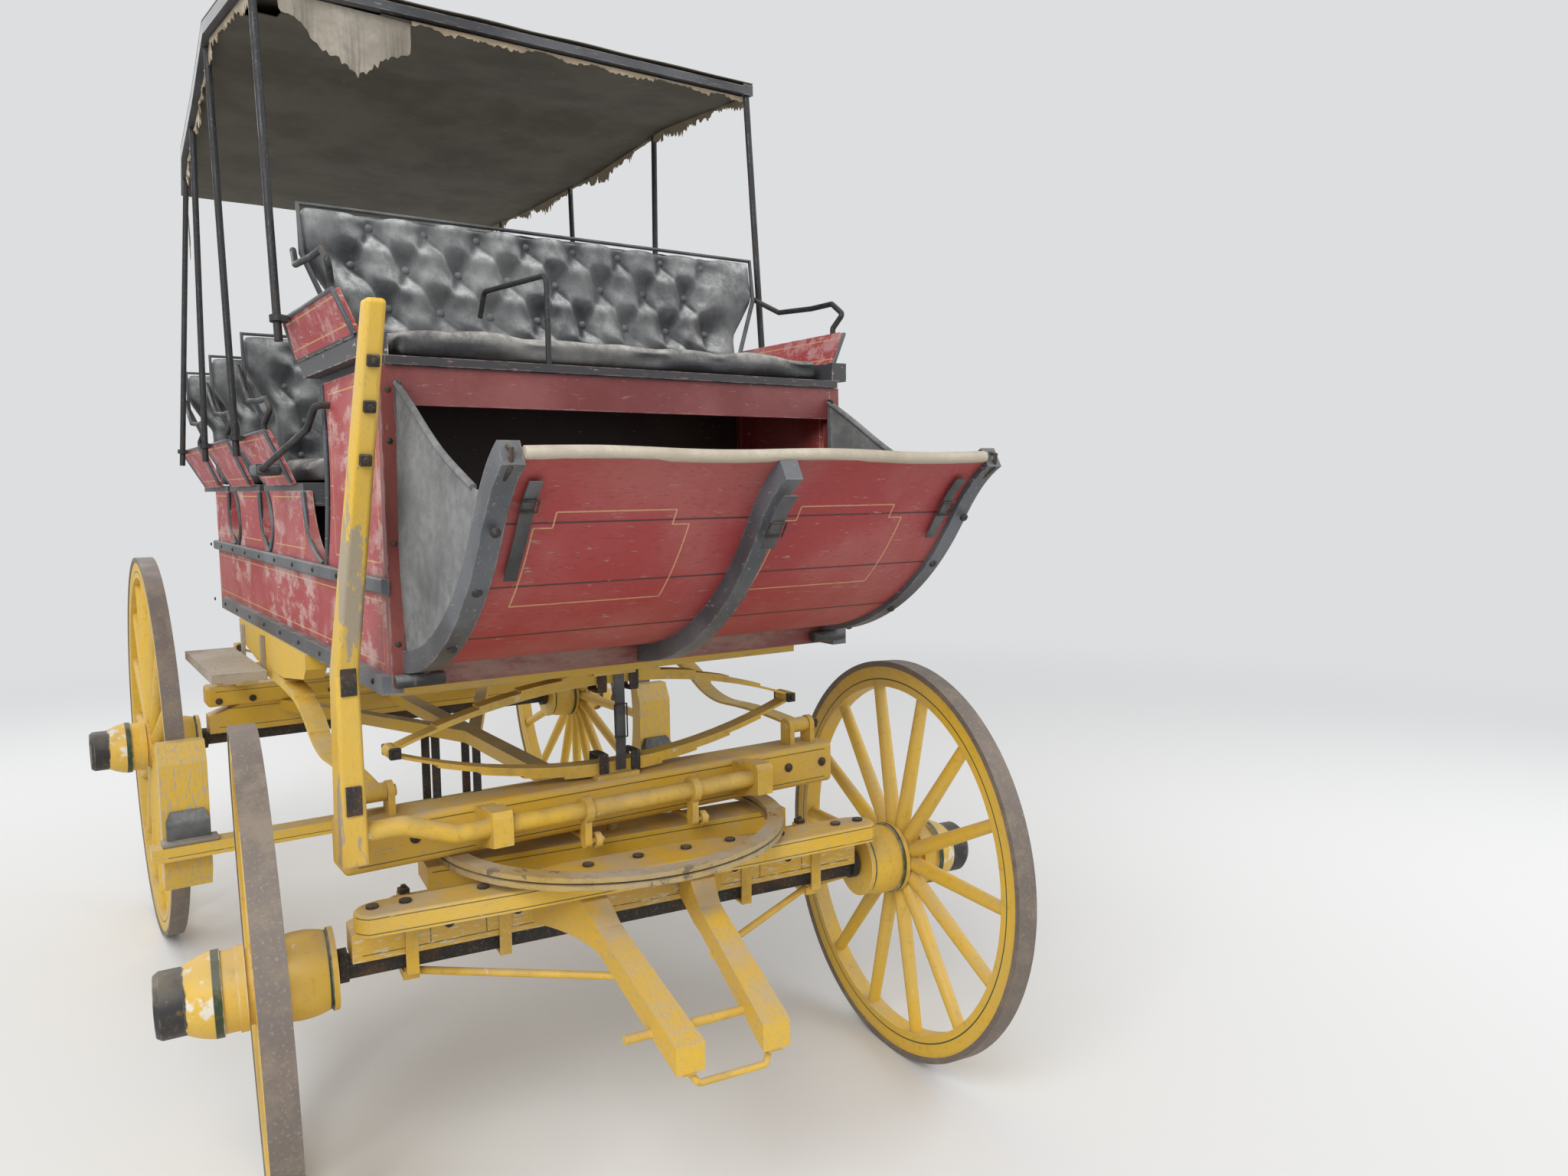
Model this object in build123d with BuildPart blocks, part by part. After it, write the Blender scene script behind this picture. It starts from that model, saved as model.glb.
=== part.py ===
from build123d import *
import math
import os

# An open touring stagecoach: red body of four seat rows under a flat canopy, yellow running gear.
# Millimetres. +X forward, +Y to the coach's left, +Z up, ground at z = 0.

# Driving dimensions
front_axle_x = 1017.8
wheelbase = 2080.0
front_track = 1575.0
rear_track = 1596.0
front_radius = 534.0
rear_radius = 660.0
front_spokes = 14
rear_spokes = 16
body_half_width = 560.0
wall = 22.0
sill_rise = 290.0
sill_height = 38.0
rail_rise = 200.0
rail_height = 32.0
seat_rise = 425.0
driver_seat_rise = 665.0
body_front = front_axle_x + 110.0
roof_rise = 1528.0
parked_turn = -6.5
front_camber = 1.3
gap = 0.3

rear_axle_x = front_axle_x - wheelbase
king_offset = 80.0
king_x = front_axle_x - king_offset
king_axis = Axis((king_x, 0, 0), (0, 0, 1))
body_rear_face = rear_axle_x - 20.0

os.makedirs("parts", exist_ok=True)


def save(part, name):
    part.label = name
    export_step(part, "parts/" + name + ".step")


def save_turned(part, name):
    # The front gear is parked a few degrees to the right about the king pin.
    save(part.rotate(king_axis, parked_turn), name)


def side_plane(y):
    # Sketch plane facing the coach's left: local x is forward, local y is up.
    return Plane(origin=(0, y, 0), x_dir=(1, 0, 0), z_dir=(0, -1, 0))


def front_plane(x):
    # Sketch plane facing forward: local x is to the left, local y is up.
    return Plane(origin=(x, 0, 0), x_dir=(0, 1, 0), z_dir=(1, 0, 0))


def rod(points, radius, bend):
    # A round iron bar bent along a few points.
    with BuildPart() as bar:
        with BuildLine() as path:
            if len(points) > 2:
                FilletPolyline(*points, radius=bend)
            else:
                Line(*points)
        start = path.line @ 0
        with BuildSketch(Plane(origin=start, z_dir=path.line % 0)):
            Circle(radius)
        sweep()
    return bar.part


# Wheels, modelled with the axle along local Z, outer end up, tyre plane at z = 0
tyre_width = 52.0
tyre_thickness = 15.0
felloe_width = 46.0
felloe_depth = 55.0
hub_inner_reach = 138.0
hub_outer_reach = 196.0
hub_inner_radius = 82.0
hub_collar_radius = 93.0
hub_ring_radius = 86.0
hub_nose_radius = 64.0
hub_recess_radius = 46.0
hub_recess_depth = 40.0
arm_radius = 19.0
arm_fit = 0.05
spoke_root_radius = 21.0
spoke_tip_radius = 16.0
spoke_start = 60.0
spoke_sink = 5.0

# Hub outline from the inner end to the nose: distance from the tyre plane, radius
inner_barrel = [
    (-hub_inner_reach, hub_inner_radius + 4),
    (-hub_inner_reach + 12, hub_inner_radius + 4),
    (-hub_inner_reach + 12, hub_inner_radius - 2),
]
hub_middle = [
    (-42, hub_collar_radius - 5),
    (-42, hub_collar_radius),
    (-22, hub_collar_radius),
    (-22, hub_ring_radius - 10),
    (32, hub_ring_radius - 10),
    (32, hub_ring_radius),
    (48, hub_ring_radius),
    (48, hub_ring_radius - 4),
    (76, hub_ring_radius - 4),
    (76, hub_ring_radius + 1),
    (92, hub_ring_radius + 1),
]
nose_barrel = [
    (144, hub_nose_radius + 3),
    (186, hub_nose_radius + 3),
    (hub_outer_reach, hub_nose_radius - 4),
]


def build_wheel(radius, spokes):
    felloe_outer = radius - tyre_thickness
    felloe_inner = felloe_outer - felloe_depth
    spoke_length = felloe_inner + spoke_sink - spoke_start
    with BuildPart() as wheel:
        with BuildSketch(Plane.XZ):
            with BuildLine():
                bore = arm_radius + arm_fit
                inner = Polyline((bore, -hub_inner_reach), *[(here, reach) for reach, here in inner_barrel])
                middle = Polyline(*[(here, reach) for reach, here in hub_middle])
                nose = Polyline(
                    *[(here, reach) for reach, here in nose_barrel],
                    (hub_recess_radius, hub_outer_reach),
                    (hub_recess_radius, hub_outer_reach - hub_recess_depth),
                    (bore, hub_outer_reach - hub_recess_depth),
                    (bore, -hub_inner_reach),
                )
                ThreePointArc(inner @ 1, (hub_collar_radius - 4, -92), middle @ 0)
                ThreePointArc(middle @ 1, (hub_nose_radius + 13, 124), nose @ 0)
            make_face()
        revolve(axis=Axis.Z)
        with BuildSketch(Plane.XY.offset(-felloe_width / 2)):
            Circle(felloe_outer)
            Circle(felloe_inner, mode=Mode.SUBTRACT)
        extrude(amount=felloe_width)
        with PolarLocations(spoke_start + spoke_length / 2, spokes):
            Cone(spoke_root_radius, spoke_tip_radius, spoke_length, rotation=(0, 90, 0))
    with BuildPart() as tyre:
        with BuildSketch(Plane.XY.offset(-tyre_width / 2)):
            Circle(radius)
            Circle(felloe_outer, mode=Mode.SUBTRACT)
        extrude(amount=tyre_width)
    return wheel.part, tyre.part


def hub_plane(x, side, track, hub_z, camber):
    # Wheel centre, local Z out along the axle arm, which droops by the camber.
    lean = math.radians(camber)
    out = (0, side * math.cos(lean), -math.sin(lean))
    return Plane(origin=(x, side * track / 2, hub_z), x_dir=(1, 0, 0), z_dir=out)


front_wheel, front_tyre = build_wheel(front_radius, front_spokes)
rear_wheel, rear_tyre = build_wheel(rear_radius, rear_spokes)
camber_angle = math.radians(front_camber)
front_hub_z = front_radius * math.cos(camber_angle) + tyre_width / 2 * math.sin(camber_angle)
rear_hub_z = rear_radius
for side, word in [(-1, "right"), (1, "left")]:
    front_place = hub_plane(front_axle_x, side, front_track, front_hub_z, front_camber).location
    rear_place = hub_plane(rear_axle_x, side, rear_track, rear_hub_z, 0).location
    save_turned(front_place * front_wheel, f"front_{word}_wheel")
    save_turned(front_place * front_tyre, f"front_{word}_tyre")
    save(rear_place * rear_wheel, f"rear_{word}_wheel")
    save(rear_place * rear_tyre, f"rear_{word}_tyre")

# Axles: square iron bar under a timber bed, turned arms in the hubs, nut in the hub's nose
axle_height = 40.0
axle_depth = 44.0
hub_clearance = 6.0
nut_radius = 34.0
nut_length = 26.0
bed_depth = 92.0
bed_height = 100.0
bed_slope_start = 520.0
bed_end_drop = 40.0


def build_axle(x, track, z, camber):
    arm_end = hub_outer_reach - hub_recess_depth + 1
    arm_start = -hub_inner_reach - hub_clearance - 14
    shoulder = track / 2 - hub_inner_reach - hub_clearance - 8
    with BuildPart() as axle:
        with Locations((x, 0, z)):
            Box(axle_depth, 2 * shoulder, axle_height)
        for side in (-1, 1):
            with Locations(hub_plane(x, side, track, z, camber)):
                with Locations((0, 0, (arm_start + arm_end + nut_length) / 2)):
                    Cylinder(arm_radius, arm_end + nut_length - arm_start)
                with Locations((0, 0, -hub_inner_reach - hub_clearance - 9)):
                    Cylinder(hub_inner_radius - 46, 18)
                with Locations((0, 0, arm_end + nut_length / 2)):
                    Cylinder(nut_radius, nut_length)
    return axle.part


def build_bed(x, track, bottom):
    bed_half_length = track / 2 - hub_inner_reach - hub_clearance - 24
    with BuildPart() as bed:
        with BuildSketch(front_plane(x - bed_depth / 2)):
            top = bottom + bed_height
            Polygon(
                (-bed_half_length, bottom),
                (bed_half_length, bottom),
                (bed_half_length, top - bed_end_drop),
                (bed_slope_start, top),
                (-bed_slope_start, top),
                (-bed_half_length, top - bed_end_drop),
                align=None,
            )
        extrude(amount=bed_depth)
    return bed.part


def build_clips(x, bottom, top, stations, depth):
    # Square yokes round the timber and the iron, each with its bottom plate.
    clip_width = 26.0
    clip_wall = 6.0
    with BuildPart() as clips:
        with BuildSketch(side_plane(0)) as frame:
            with Locations((x, (bottom + top) / 2)):
                Rectangle(depth + 2 * clip_wall, top - bottom + 2 * clip_wall)
                Rectangle(depth, top - bottom, mode=Mode.SUBTRACT)
        for y in stations:
            extrude(frame.sketch.moved(Location((0, y + clip_width / 2, 0))), amount=clip_width)
    return clips.part


front_axle_top = front_hub_z + axle_height / 2
front_bed_top = front_axle_top + bed_height
clip_stations = [-500.0, -300.0, 300.0, 500.0]
save_turned(build_axle(front_axle_x, front_track, front_hub_z, front_camber), "front_axle")
save_turned(build_bed(front_axle_x, front_track, front_axle_top), "front_axle_bed")
save_turned(
    build_clips(front_axle_x, front_hub_z - axle_height / 2, front_bed_top, clip_stations, bed_depth),
    "front_axle_clips",
)
rear_axle_top = rear_hub_z + axle_height / 2
rear_bed_top = rear_axle_top + bed_height
save(build_axle(rear_axle_x, rear_track, rear_hub_z, 0), "rear_axle")
save(build_bed(rear_axle_x, rear_track, rear_axle_top), "rear_axle_bed")

# Turning circle: a sand board on the axle bed, a lower and an upper iron circle
circle_radius = 400.0
circle_width = 40.0
circle_thickness = 12.0
clip_top = front_bed_top + 6.0
sand_board_height = 52.0
sand_board_half_length = 450.0
lower_circle_z = clip_top + sand_board_height
running_gap = 5.0
upper_circle_z = lower_circle_z + circle_thickness + running_gap
upper_circle_top = upper_circle_z + circle_thickness

# Levels of the body above the two gears
reach_height = 38.0
bolster_top = max(upper_circle_top + reach_height + 1, rear_bed_top) + 70
sill_z = bolster_top + sill_rise
rail_z = sill_z + rail_rise
seat_z = sill_z + seat_rise
driver_seat_z = sill_z + driver_seat_rise
roof_z = sill_z + roof_rise

king_pin_radius = 14.0
king_pin_fit = 0.5
with BuildPart() as sand_board:
    with Locations((king_x, 0, clip_top + sand_board_height / 2)):
        Box(120, 2 * sand_board_half_length, sand_board_height)
        Cylinder(king_pin_radius + king_pin_fit, sand_board_height, mode=Mode.SUBTRACT)
save_turned(sand_board.part, "sand_board")


def build_circle(level):
    with BuildPart() as circle:
        with BuildSketch(Plane(origin=(king_x, 0, level))):
            Circle(circle_radius + circle_width / 2)
            Circle(circle_radius - circle_width / 2, mode=Mode.SUBTRACT)
        extrude(amount=circle_thickness)
    return circle.part


save_turned(build_circle(lower_circle_z), "lower_circle")
pin_low = clip_top - 22
with BuildPart() as upper_circle:
    add(build_circle(upper_circle_z))
    with Locations((king_x, 0, (pin_low + upper_circle_top) / 2)):
        Cylinder(king_pin_radius, upper_circle_top - pin_low)
    with Locations((king_x, 0, pin_low + 8)):
        Cylinder(26, 16)
save(upper_circle.part, "upper_circle")

# Futchells: two timbers from the axle bed that converge to the pole jaw
futchell_root_x = front_axle_x + bed_depth / 2 + gap
futchell_tip_x = front_axle_x + 600.0
root_inner_y = 120.0
root_outer_y = 235.0
tip_inner_y = 62.0
tip_outer_y = 122.0
futchell_root_low = front_hub_z + 32
futchell_root_top = front_hub_z + 116
futchell_tip_low = front_hub_z - 94
futchell_tip_top = front_hub_z - 38
futchell_shoulder_x = front_axle_x + 190.0
jaw_bolt_x = futchell_tip_x - 110.0
jaw_bolt_z = front_hub_z - 56
jaw_bolt_radius = 9.5
with BuildPart() as futchells:
    for side in (-1, 1):
        with BuildSketch(Plane.XY.offset(futchell_tip_low - 10)):
            with BuildLine():
                inner = Line((futchell_root_x, side * root_inner_y), (futchell_shoulder_x, side * root_inner_y * 0.8))
                lower = Line(inner @ 1, (futchell_tip_x, side * tip_inner_y))
                nose = Line(lower @ 1, (futchell_tip_x, side * tip_outer_y))
                outer = Line(nose @ 1, (futchell_shoulder_x + 60, side * (tip_outer_y + 22)))
                flare = TangentArc(outer @ 1, (futchell_root_x, side * root_outer_y), tangent=(outer % 1))
                Line(flare @ 1, inner @ 0)
            make_face()
        extrude(amount=futchell_root_top - futchell_tip_low + 20)
    with BuildSketch(side_plane(root_outer_y + 40)):
        Polygon(
            (futchell_root_x, futchell_root_low),
            (futchell_root_x, futchell_root_top),
            (futchell_shoulder_x - 40, futchell_root_top),
            (futchell_shoulder_x + 40, futchell_root_top - 50),
            (futchell_tip_x, futchell_tip_top),
            (futchell_tip_x, futchell_tip_low),
            (futchell_shoulder_x + 40, futchell_root_low - 22),
            align=None,
        )
    extrude(amount=2 * (root_outer_y + 40), mode=Mode.INTERSECT)
    with Locations((jaw_bolt_x, 0, jaw_bolt_z)):
        Cylinder(jaw_bolt_radius, 2 * root_outer_y, rotation=(90, 0, 0), mode=Mode.SUBTRACT)
save_turned(futchells.part, "futchells")

stirrup_y = (tip_inner_y + tip_outer_y) / 2
stirrup_x = futchell_tip_x - 30
stirrup = rod(
    [
        (stirrup_x, -stirrup_y, futchell_tip_low - 4),
        (stirrup_x + 20, -stirrup_y + 20, futchell_tip_low - 30),
        (stirrup_x + 20, stirrup_y - 20, futchell_tip_low - 30),
        (stirrup_x, stirrup_y, futchell_tip_low - 4),
    ],
    7.0,
    12,
)
# The jaw plates lie along the futchells' sloping undersides
under_slope = (futchell_root_low - 22 - futchell_tip_low) / (futchell_shoulder_x + 40 - futchell_tip_x)
plate_length = 60.0
with BuildPart() as jaw_irons:
    with Locations((jaw_bolt_x, -40, jaw_bolt_z)):
        Cylinder(jaw_bolt_radius - 0.2, 290, rotation=(90, 0, 0))
    add(stirrup)
    for y in (-stirrup_y, stirrup_y):
        with BuildSketch(side_plane(y + 15)):
            end_x = futchell_tip_x - 5
            start_x = end_x - plate_length
            Polygon(
                (end_x, futchell_tip_low - gap - 5 * under_slope),
                (start_x, futchell_tip_low - gap - (plate_length + 5) * under_slope),
                (start_x, futchell_tip_low - 9 - (plate_length + 5) * under_slope),
                (end_x, futchell_tip_low - 9 - 5 * under_slope),
                align=None,
            )
        extrude(amount=30)
save_turned(jaw_irons.part, "jaw_irons")

# Splinter bar across the futchells, swelled in the middle, its ends rounded off
bar_rear_x = futchell_root_x + gap
bar_half_length = front_track / 2 - 165.0
bar_end_width = 88.0
bar_middle_width = 128.0
bar_thickness = 44.0
bar_swell_start = 190.0
bar_swell_end = 300.0
with BuildPart() as splinter_bar:
    with BuildSketch(Plane.XY.offset(futchell_root_top)):
        rear = bar_rear_x
        with BuildLine():
            front_right = Line((rear + bar_middle_width, -bar_swell_end), (rear + 30 + bar_end_width, -bar_half_length + 26))
            right_end = ThreePointArc(
                front_right @ 1, (rear + 72, -bar_half_length), (rear + 30, -bar_half_length + 34)
            )
            right_rear = Line(right_end @ 1, (rear + 30, -bar_swell_end))
            right_swell = Line(right_rear @ 1, (rear, -bar_swell_start))
            mirror(about=Plane.XZ)
            Line(right_swell @ 1, (rear, bar_swell_start))
            Line(front_right @ 0, (rear + bar_middle_width, bar_swell_end))
        make_face()
    extrude(amount=bar_thickness)
    fillet(splinter_bar.edges().filter_by(Axis.Y, reverse=True).group_by(Axis.Z)[-1], radius=8)
save_turned(splinter_bar.part, "splinter_bar")

# Stays from the outer axle clips to the futchells
brace_radius = 8.5
brace_z = front_hub_z - axle_height / 2 - 16
with BuildPart() as braces:
    for side in (-1, 1):
        with Locations((front_axle_x, side * 500, brace_z)):
            Box(60, 34, 19)
        add(rod([(front_axle_x, side * 500, brace_z), (futchell_shoulder_x + 70, side * 108, brace_z)], brace_radius, 0))
save_turned(braces.part, "front_stays")

# King pin and the upper front gear, carried by the body
bolster_half_depth = 55.0
side_spring_y = body_half_width
bolster_half_length = side_spring_y + 77.0
floor_z = sill_z + 10.0
transom_height = 42.0
transom_bottom = floor_z - transom_height
rear_bolster_x = rear_axle_x + 20.0


def build_bolster(x, bottom):
    with BuildPart() as bolster:
        with BuildSketch(side_plane(bolster_half_length)):
            with Locations((x, (bottom + bolster_top) / 2)):
                RectangleRounded(2 * bolster_half_depth, bolster_top - bottom, 14)
        extrude(amount=2 * bolster_half_length)
        fillet(bolster.faces().sort_by(Axis.Y)[0].edges(), radius=12)
        fillet(bolster.faces().sort_by(Axis.Y)[-1].edges(), radius=12)
    return bolster.part


with BuildPart() as bolsters:
    add(build_bolster(king_x, upper_circle_top))
    add(build_bolster(rear_bolster_x, rear_bed_top))
save(bolsters.part, "bolsters")

# Full elliptic cross springs: five leaves above and five below, rolled eyes at the ends
spring_width = 46.0
leaf_thickness = 6.0
leaf_count = 5
eye_radius = 15.0
eye_y = side_spring_y - 42.0
clip_plate = 6.0


def build_cross_spring(x):
    low = bolster_top + clip_plate
    high = transom_bottom
    middle = (low + high) / 2
    crown = high - leaf_count * leaf_thickness
    sagitta = crown - middle - leaf_thickness / 2
    curve = (eye_y ** 2 + sagitta ** 2) / (2 * sagitta)
    centre = crown - curve
    full_angle = math.degrees(math.asin(eye_y / curve))
    with BuildPart() as spring:
        with BuildSketch(front_plane(x - spring_width / 2)):
            for leaf in range(leaf_count):
                inner = curve + leaf * leaf_thickness
                reach_angle = full_angle * (1 - 0.19 * leaf)
                with BuildLine():
                    bottom_arc = CenterArc((0, centre), inner, 90 - reach_angle, 2 * reach_angle)
                    top_arc = CenterArc((0, centre), inner + leaf_thickness, 90 - reach_angle, 2 * reach_angle)
                    Line(bottom_arc @ 0, top_arc @ 0)
                    Line(bottom_arc @ 1, top_arc @ 1)
                make_face()
            mirror(about=Plane(origin=(0, middle, 0), z_dir=(0, 1, 0)))
            with Locations((eye_y, middle), (-eye_y, middle)):
                Circle(eye_radius)
        extrude(amount=spring_width)
        with Locations((x, 0, low - clip_plate / 2 + 2)):
            Box(90, 110, clip_plate + 4)
        with Locations((x, 0, high - 4)):
            Box(70, 110, 8)
    return spring.part


with BuildPart() as cross_springs:
    add(build_cross_spring(king_x))
    add(build_cross_spring(rear_bolster_x))
save(cross_springs.part, "cross_springs")

# Body transoms over the cross springs
transom_half_length = body_half_width - 40.0
with BuildPart() as transoms:
    with Locations(*[(x, 0, floor_z - transom_height / 2) for x in (king_x, rear_bolster_x)]):
        Box(86, 2 * transom_half_length, transom_height)
save(transoms.part, "body_transoms")

# Side springs: long arched leaves from bolster to bolster, short leaves on top
side_spring_width = 50.0
pin_z = bolster_top + 47.0
pin_radius = 13.0
spring_middle_x = (king_x + rear_bolster_x) / 2
spring_crown_z = sill_z - 124.0
half_span = king_x - spring_middle_x
# Stations on the main leaf: share of the half span from the pin, share of the rise
side_spring_curve = [(0.71, 0.89), (0.53, 0.43), (0.34, 0.07), (0.0, 0.0)]
side_leaf_thickness = 7.0


def side_leaf(start_share, lift):
    # One leaf's centre line from the middle towards the front pin, cut off at start_share.
    rise = spring_crown_z - pin_z
    points = [(king_x - half_span * along, pin_z + rise * up + lift) for along, up in side_spring_curve]
    with BuildPart() as leaf:
        with BuildSketch(side_plane(side_spring_width / 2)):
            with BuildLine():
                middle = (spring_middle_x, spring_crown_z + lift)
                first = TangentArc(middle, points[0], tangent=(1, 0))
                second = TangentArc(first @ 1, points[1], tangent=first % 1)
                third = TangentArc(second @ 1, points[2], tangent=second % 1)
                TangentArc(third @ 1, points[3], tangent=third % 1)
            trace(line_width=side_leaf_thickness)
        extrude(amount=side_spring_width)
        if start_share > 0:
            with Locations((king_x - half_span * start_share / 2 + 50, 0, pin_z + 50)):
                Box(half_span * start_share + 100, 100, 400, mode=Mode.SUBTRACT)
    return leaf.part


with BuildPart() as side_spring:
    for number, share in enumerate([0.0, 0.5, 0.66, 0.8]):
        add(side_leaf(share, number * side_leaf_thickness))
    mirror(about=Plane(origin=(spring_middle_x, 0, 0), z_dir=(1, 0, 0)))
    with Locations((king_x, 0, pin_z), (rear_bolster_x, 0, pin_z)):
        Cylinder(pin_radius + 7, side_spring_width, rotation=(90, 0, 0))
        Cylinder(pin_radius + 0.2, side_spring_width, rotation=(90, 0, 0), mode=Mode.SUBTRACT)
with BuildPart() as spring_pair:
    for side in (-1, 1):
        add(side_spring.part.moved(Location((0, side * side_spring_y, 0))))
save(spring_pair.part, "side_springs")

with BuildPart() as shackles:
    for x in (king_x, rear_bolster_x):
        for side in (-1, 1):
            with Locations((x, side * side_spring_y, pin_z)):
                Cylinder(pin_radius, side_spring_width + 44, rotation=(90, 0, 0))
            for edge in (-1, 1):
                cheek_y = side * side_spring_y + edge * (side_spring_width / 2 + 8)
                with Locations((x, cheek_y, (bolster_top + pin_z) / 2)):
                    Box(46, 14, pin_z - bolster_top)
                with Locations((x, cheek_y, pin_z)):
                    Cylinder(23, 14, rotation=(90, 0, 0))
save(shackles.part, "spring_shackles")

# Side blocks between the side springs and the sill
block_half_length = 490.0
block_width = side_spring_width
block_bottom = spring_crown_z + 3.5 * side_leaf_thickness
with BuildPart() as blocks:
    for side in (-1, 1):
        with BuildSketch(side_plane(side * side_spring_y + block_width / 2)):
            Polygon(
                (spring_middle_x - block_half_length, sill_z),
                (spring_middle_x + block_half_length, sill_z),
                (spring_middle_x + block_half_length, sill_z - 40),
                (spring_middle_x + block_half_length - 30, sill_z - 68),
                (spring_middle_x + 200, block_bottom),
                (spring_middle_x - 200, block_bottom),
                (spring_middle_x - block_half_length + 30, sill_z - 68),
                (spring_middle_x - block_half_length, sill_z - 40),
                align=None,
            )
        extrude(amount=block_width)
save(blocks.part, "side_blocks")

# Reach and hounds: a timber frame that falls or rises from the front bolster to the rear bed
reach_width = 52.0
reach_front_low = upper_circle_top + 1
reach_rear_low = rear_bed_top - gap - reach_height
hound_start_x = rear_axle_x + 1000.0
hound_end_y = 400.0
hound_width = 44.0
reach_front = king_x - bolster_half_depth
reach_rear = rear_axle_x + bed_depth / 2
reach_lowest = min(reach_front_low, reach_rear_low)
reach_highest = max(reach_front_low, reach_rear_low) + reach_height
with BuildPart() as reach:
    with BuildSketch(Plane.XY.offset(reach_lowest)):
        with Locations(((reach_front + reach_rear) / 2, 0)):
            Rectangle(reach_front - reach_rear, reach_width)
        for side in (-1, 1):
            Polygon(
                (hound_start_x, side * reach_width / 2),
                (hound_start_x - 110, side * reach_width / 2),
                (reach_rear, side * (hound_end_y - hound_width)),
                (reach_rear, side * hound_end_y),
                align=None,
            )
    extrude(amount=reach_highest - reach_lowest)
    with BuildSketch(side_plane(hound_end_y + 10)):
        Polygon(
            (reach_front, reach_front_low),
            (reach_front, reach_front_low + reach_height),
            (reach_rear, reach_rear_low + reach_height),
            (reach_rear, reach_rear_low),
            align=None,
        )
    extrude(amount=2 * (hound_end_y + 10), mode=Mode.INTERSECT)
save(reach.part, "reach")

# Brake: rocker shaft on two bearings before the front bolster, timber hand lever on the right
shaft_x = front_axle_x + 55.0
shaft_z = bolster_top - 34.0
shaft_radius = 21.0
bearing_y = 337.0
bearing_width = 44.0
crank_length = 75.0
crank_pin_radius = 7.0
lever_y = -body_half_width - 80.0
bolster_face_x = king_x + bolster_half_depth + gap
with BuildPart() as bearings:
    for side in (-1, 1):
        with BuildSketch(side_plane(side * bearing_y + bearing_width / 2)):
            Polygon(
                (bolster_face_x, shaft_z + 30),
                (shaft_x - 38, shaft_z + 30),
                (shaft_x - 30, shaft_z + 40),
                (shaft_x + 30, shaft_z + 40),
                (shaft_x + 38, shaft_z + 28),
                (shaft_x + 38, shaft_z - 36),
                (bolster_face_x, shaft_z - 60),
                align=None,
            )
            with Locations((shaft_x, shaft_z)):
                Circle(shaft_radius + 0.5, mode=Mode.SUBTRACT)
        extrude(amount=bearing_width)
save(bearings.part, "brake_bearings")

# Lever sections from the foot to the grip: x, y, z, width along x, width along y
lever_knee_x = front_axle_x + 65.0
lever_sections = [
    (shaft_x + 3, lever_y, shaft_z - 14, 76.0, 52.0),
    (lever_knee_x, lever_y, sill_z + 45, 58.0, 46.0),
    (front_axle_x + 290, lever_y + 28, driver_seat_z + 75, 46.0, 36.0),
]
with BuildPart() as lever:
    for low, high in zip(lever_sections, lever_sections[1:]):
        for x, y, z, width_x, width_y in (low, high):
            with BuildSketch(Plane(origin=(x, y, z))):
                RectangleRounded(width_x, width_y, 9)
        loft(ruled=True)
    fillet(lever.faces().sort_by(Axis.Z)[-1].edges(), radius=8)
save(lever.part, "brake_lever")
arm_level = shaft_z + 40
arm_share = (arm_level - lever_sections[0][2]) / (lever_sections[1][2] - lever_sections[0][2])
lever_width_there = lever_sections[0][4] + arm_share * (lever_sections[1][4] - lever_sections[0][4])
crank_lines = (-130.0, 150.0)
with BuildPart() as rocker:
    add(
        rod(
            [
                (shaft_x, bearing_y + 30, shaft_z),
                (shaft_x, -bearing_y - 90, shaft_z),
                (shaft_x + 3, -bearing_y - 200, arm_level),
                (shaft_x + 3, lever_y + lever_width_there / 2 + 2 * gap, arm_level),
            ],
            shaft_radius,
            45,
        )
    )
    for y in crank_lines:
        with Locations((shaft_x, y, shaft_z)):
            Cylinder(31, 18, rotation=(90, 0, 0))
        with Locations((shaft_x, y, shaft_z - crank_length / 2)):
            Box(28, 16, crank_length)
        with Locations((shaft_x, y, shaft_z - crank_length)):
            Cylinder(14, 16, rotation=(90, 0, 0))
        with Locations((shaft_x, y + 22, shaft_z - crank_length)):
            Cylinder(crank_pin_radius, 40, rotation=(90, 0, 0))
save(rocker.part, "brake_rocker")

# Brake beam with wooden blocks before the rear wheels, and its two push rods
beam_x = rear_axle_x + 780.0
beam_half_depth = 35.0
beam_low = rear_radius - 190.0
beam_height = 40.0
beam_half_length = rear_track / 2 + 92.0
block_gap = 25.0
block_face_radius = rear_radius + block_gap
block_inner_y = rear_track / 2 - 71.0
block_outer_y = rear_track / 2 + 57.0
block_low = rear_radius - 305.0
block_top = rear_radius + 140.0
rod_radius = 6.5
rod_level = (upper_circle_top + lower_circle_z) / 2
with BuildPart() as beam:
    with Locations((beam_x, 0, beam_low + beam_height / 2)):
        Box(2 * beam_half_depth, 2 * beam_half_length, beam_height)
save(beam.part, "brake_beam")
with BuildPart() as brake_blocks:
    for side in (-1, 1):
        with BuildSketch(side_plane(side * (block_inner_y + block_outer_y) / 2 + (block_outer_y - block_inner_y) / 2)):
            front_face = beam_x - beam_half_depth
            Polygon(
                (front_face, block_low + 60),
                (front_face, block_top - 60),
                (front_face - 30, block_top),
                (front_face - 160, block_top),
                (front_face - 160, block_low),
                (front_face - 30, block_low),
                align=None,
            )
            with Locations((rear_axle_x, rear_radius)):
                Circle(block_face_radius, mode=Mode.SUBTRACT)
        extrude(amount=block_outer_y - block_inner_y)
save(brake_blocks.part, "brake_blocks")
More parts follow.
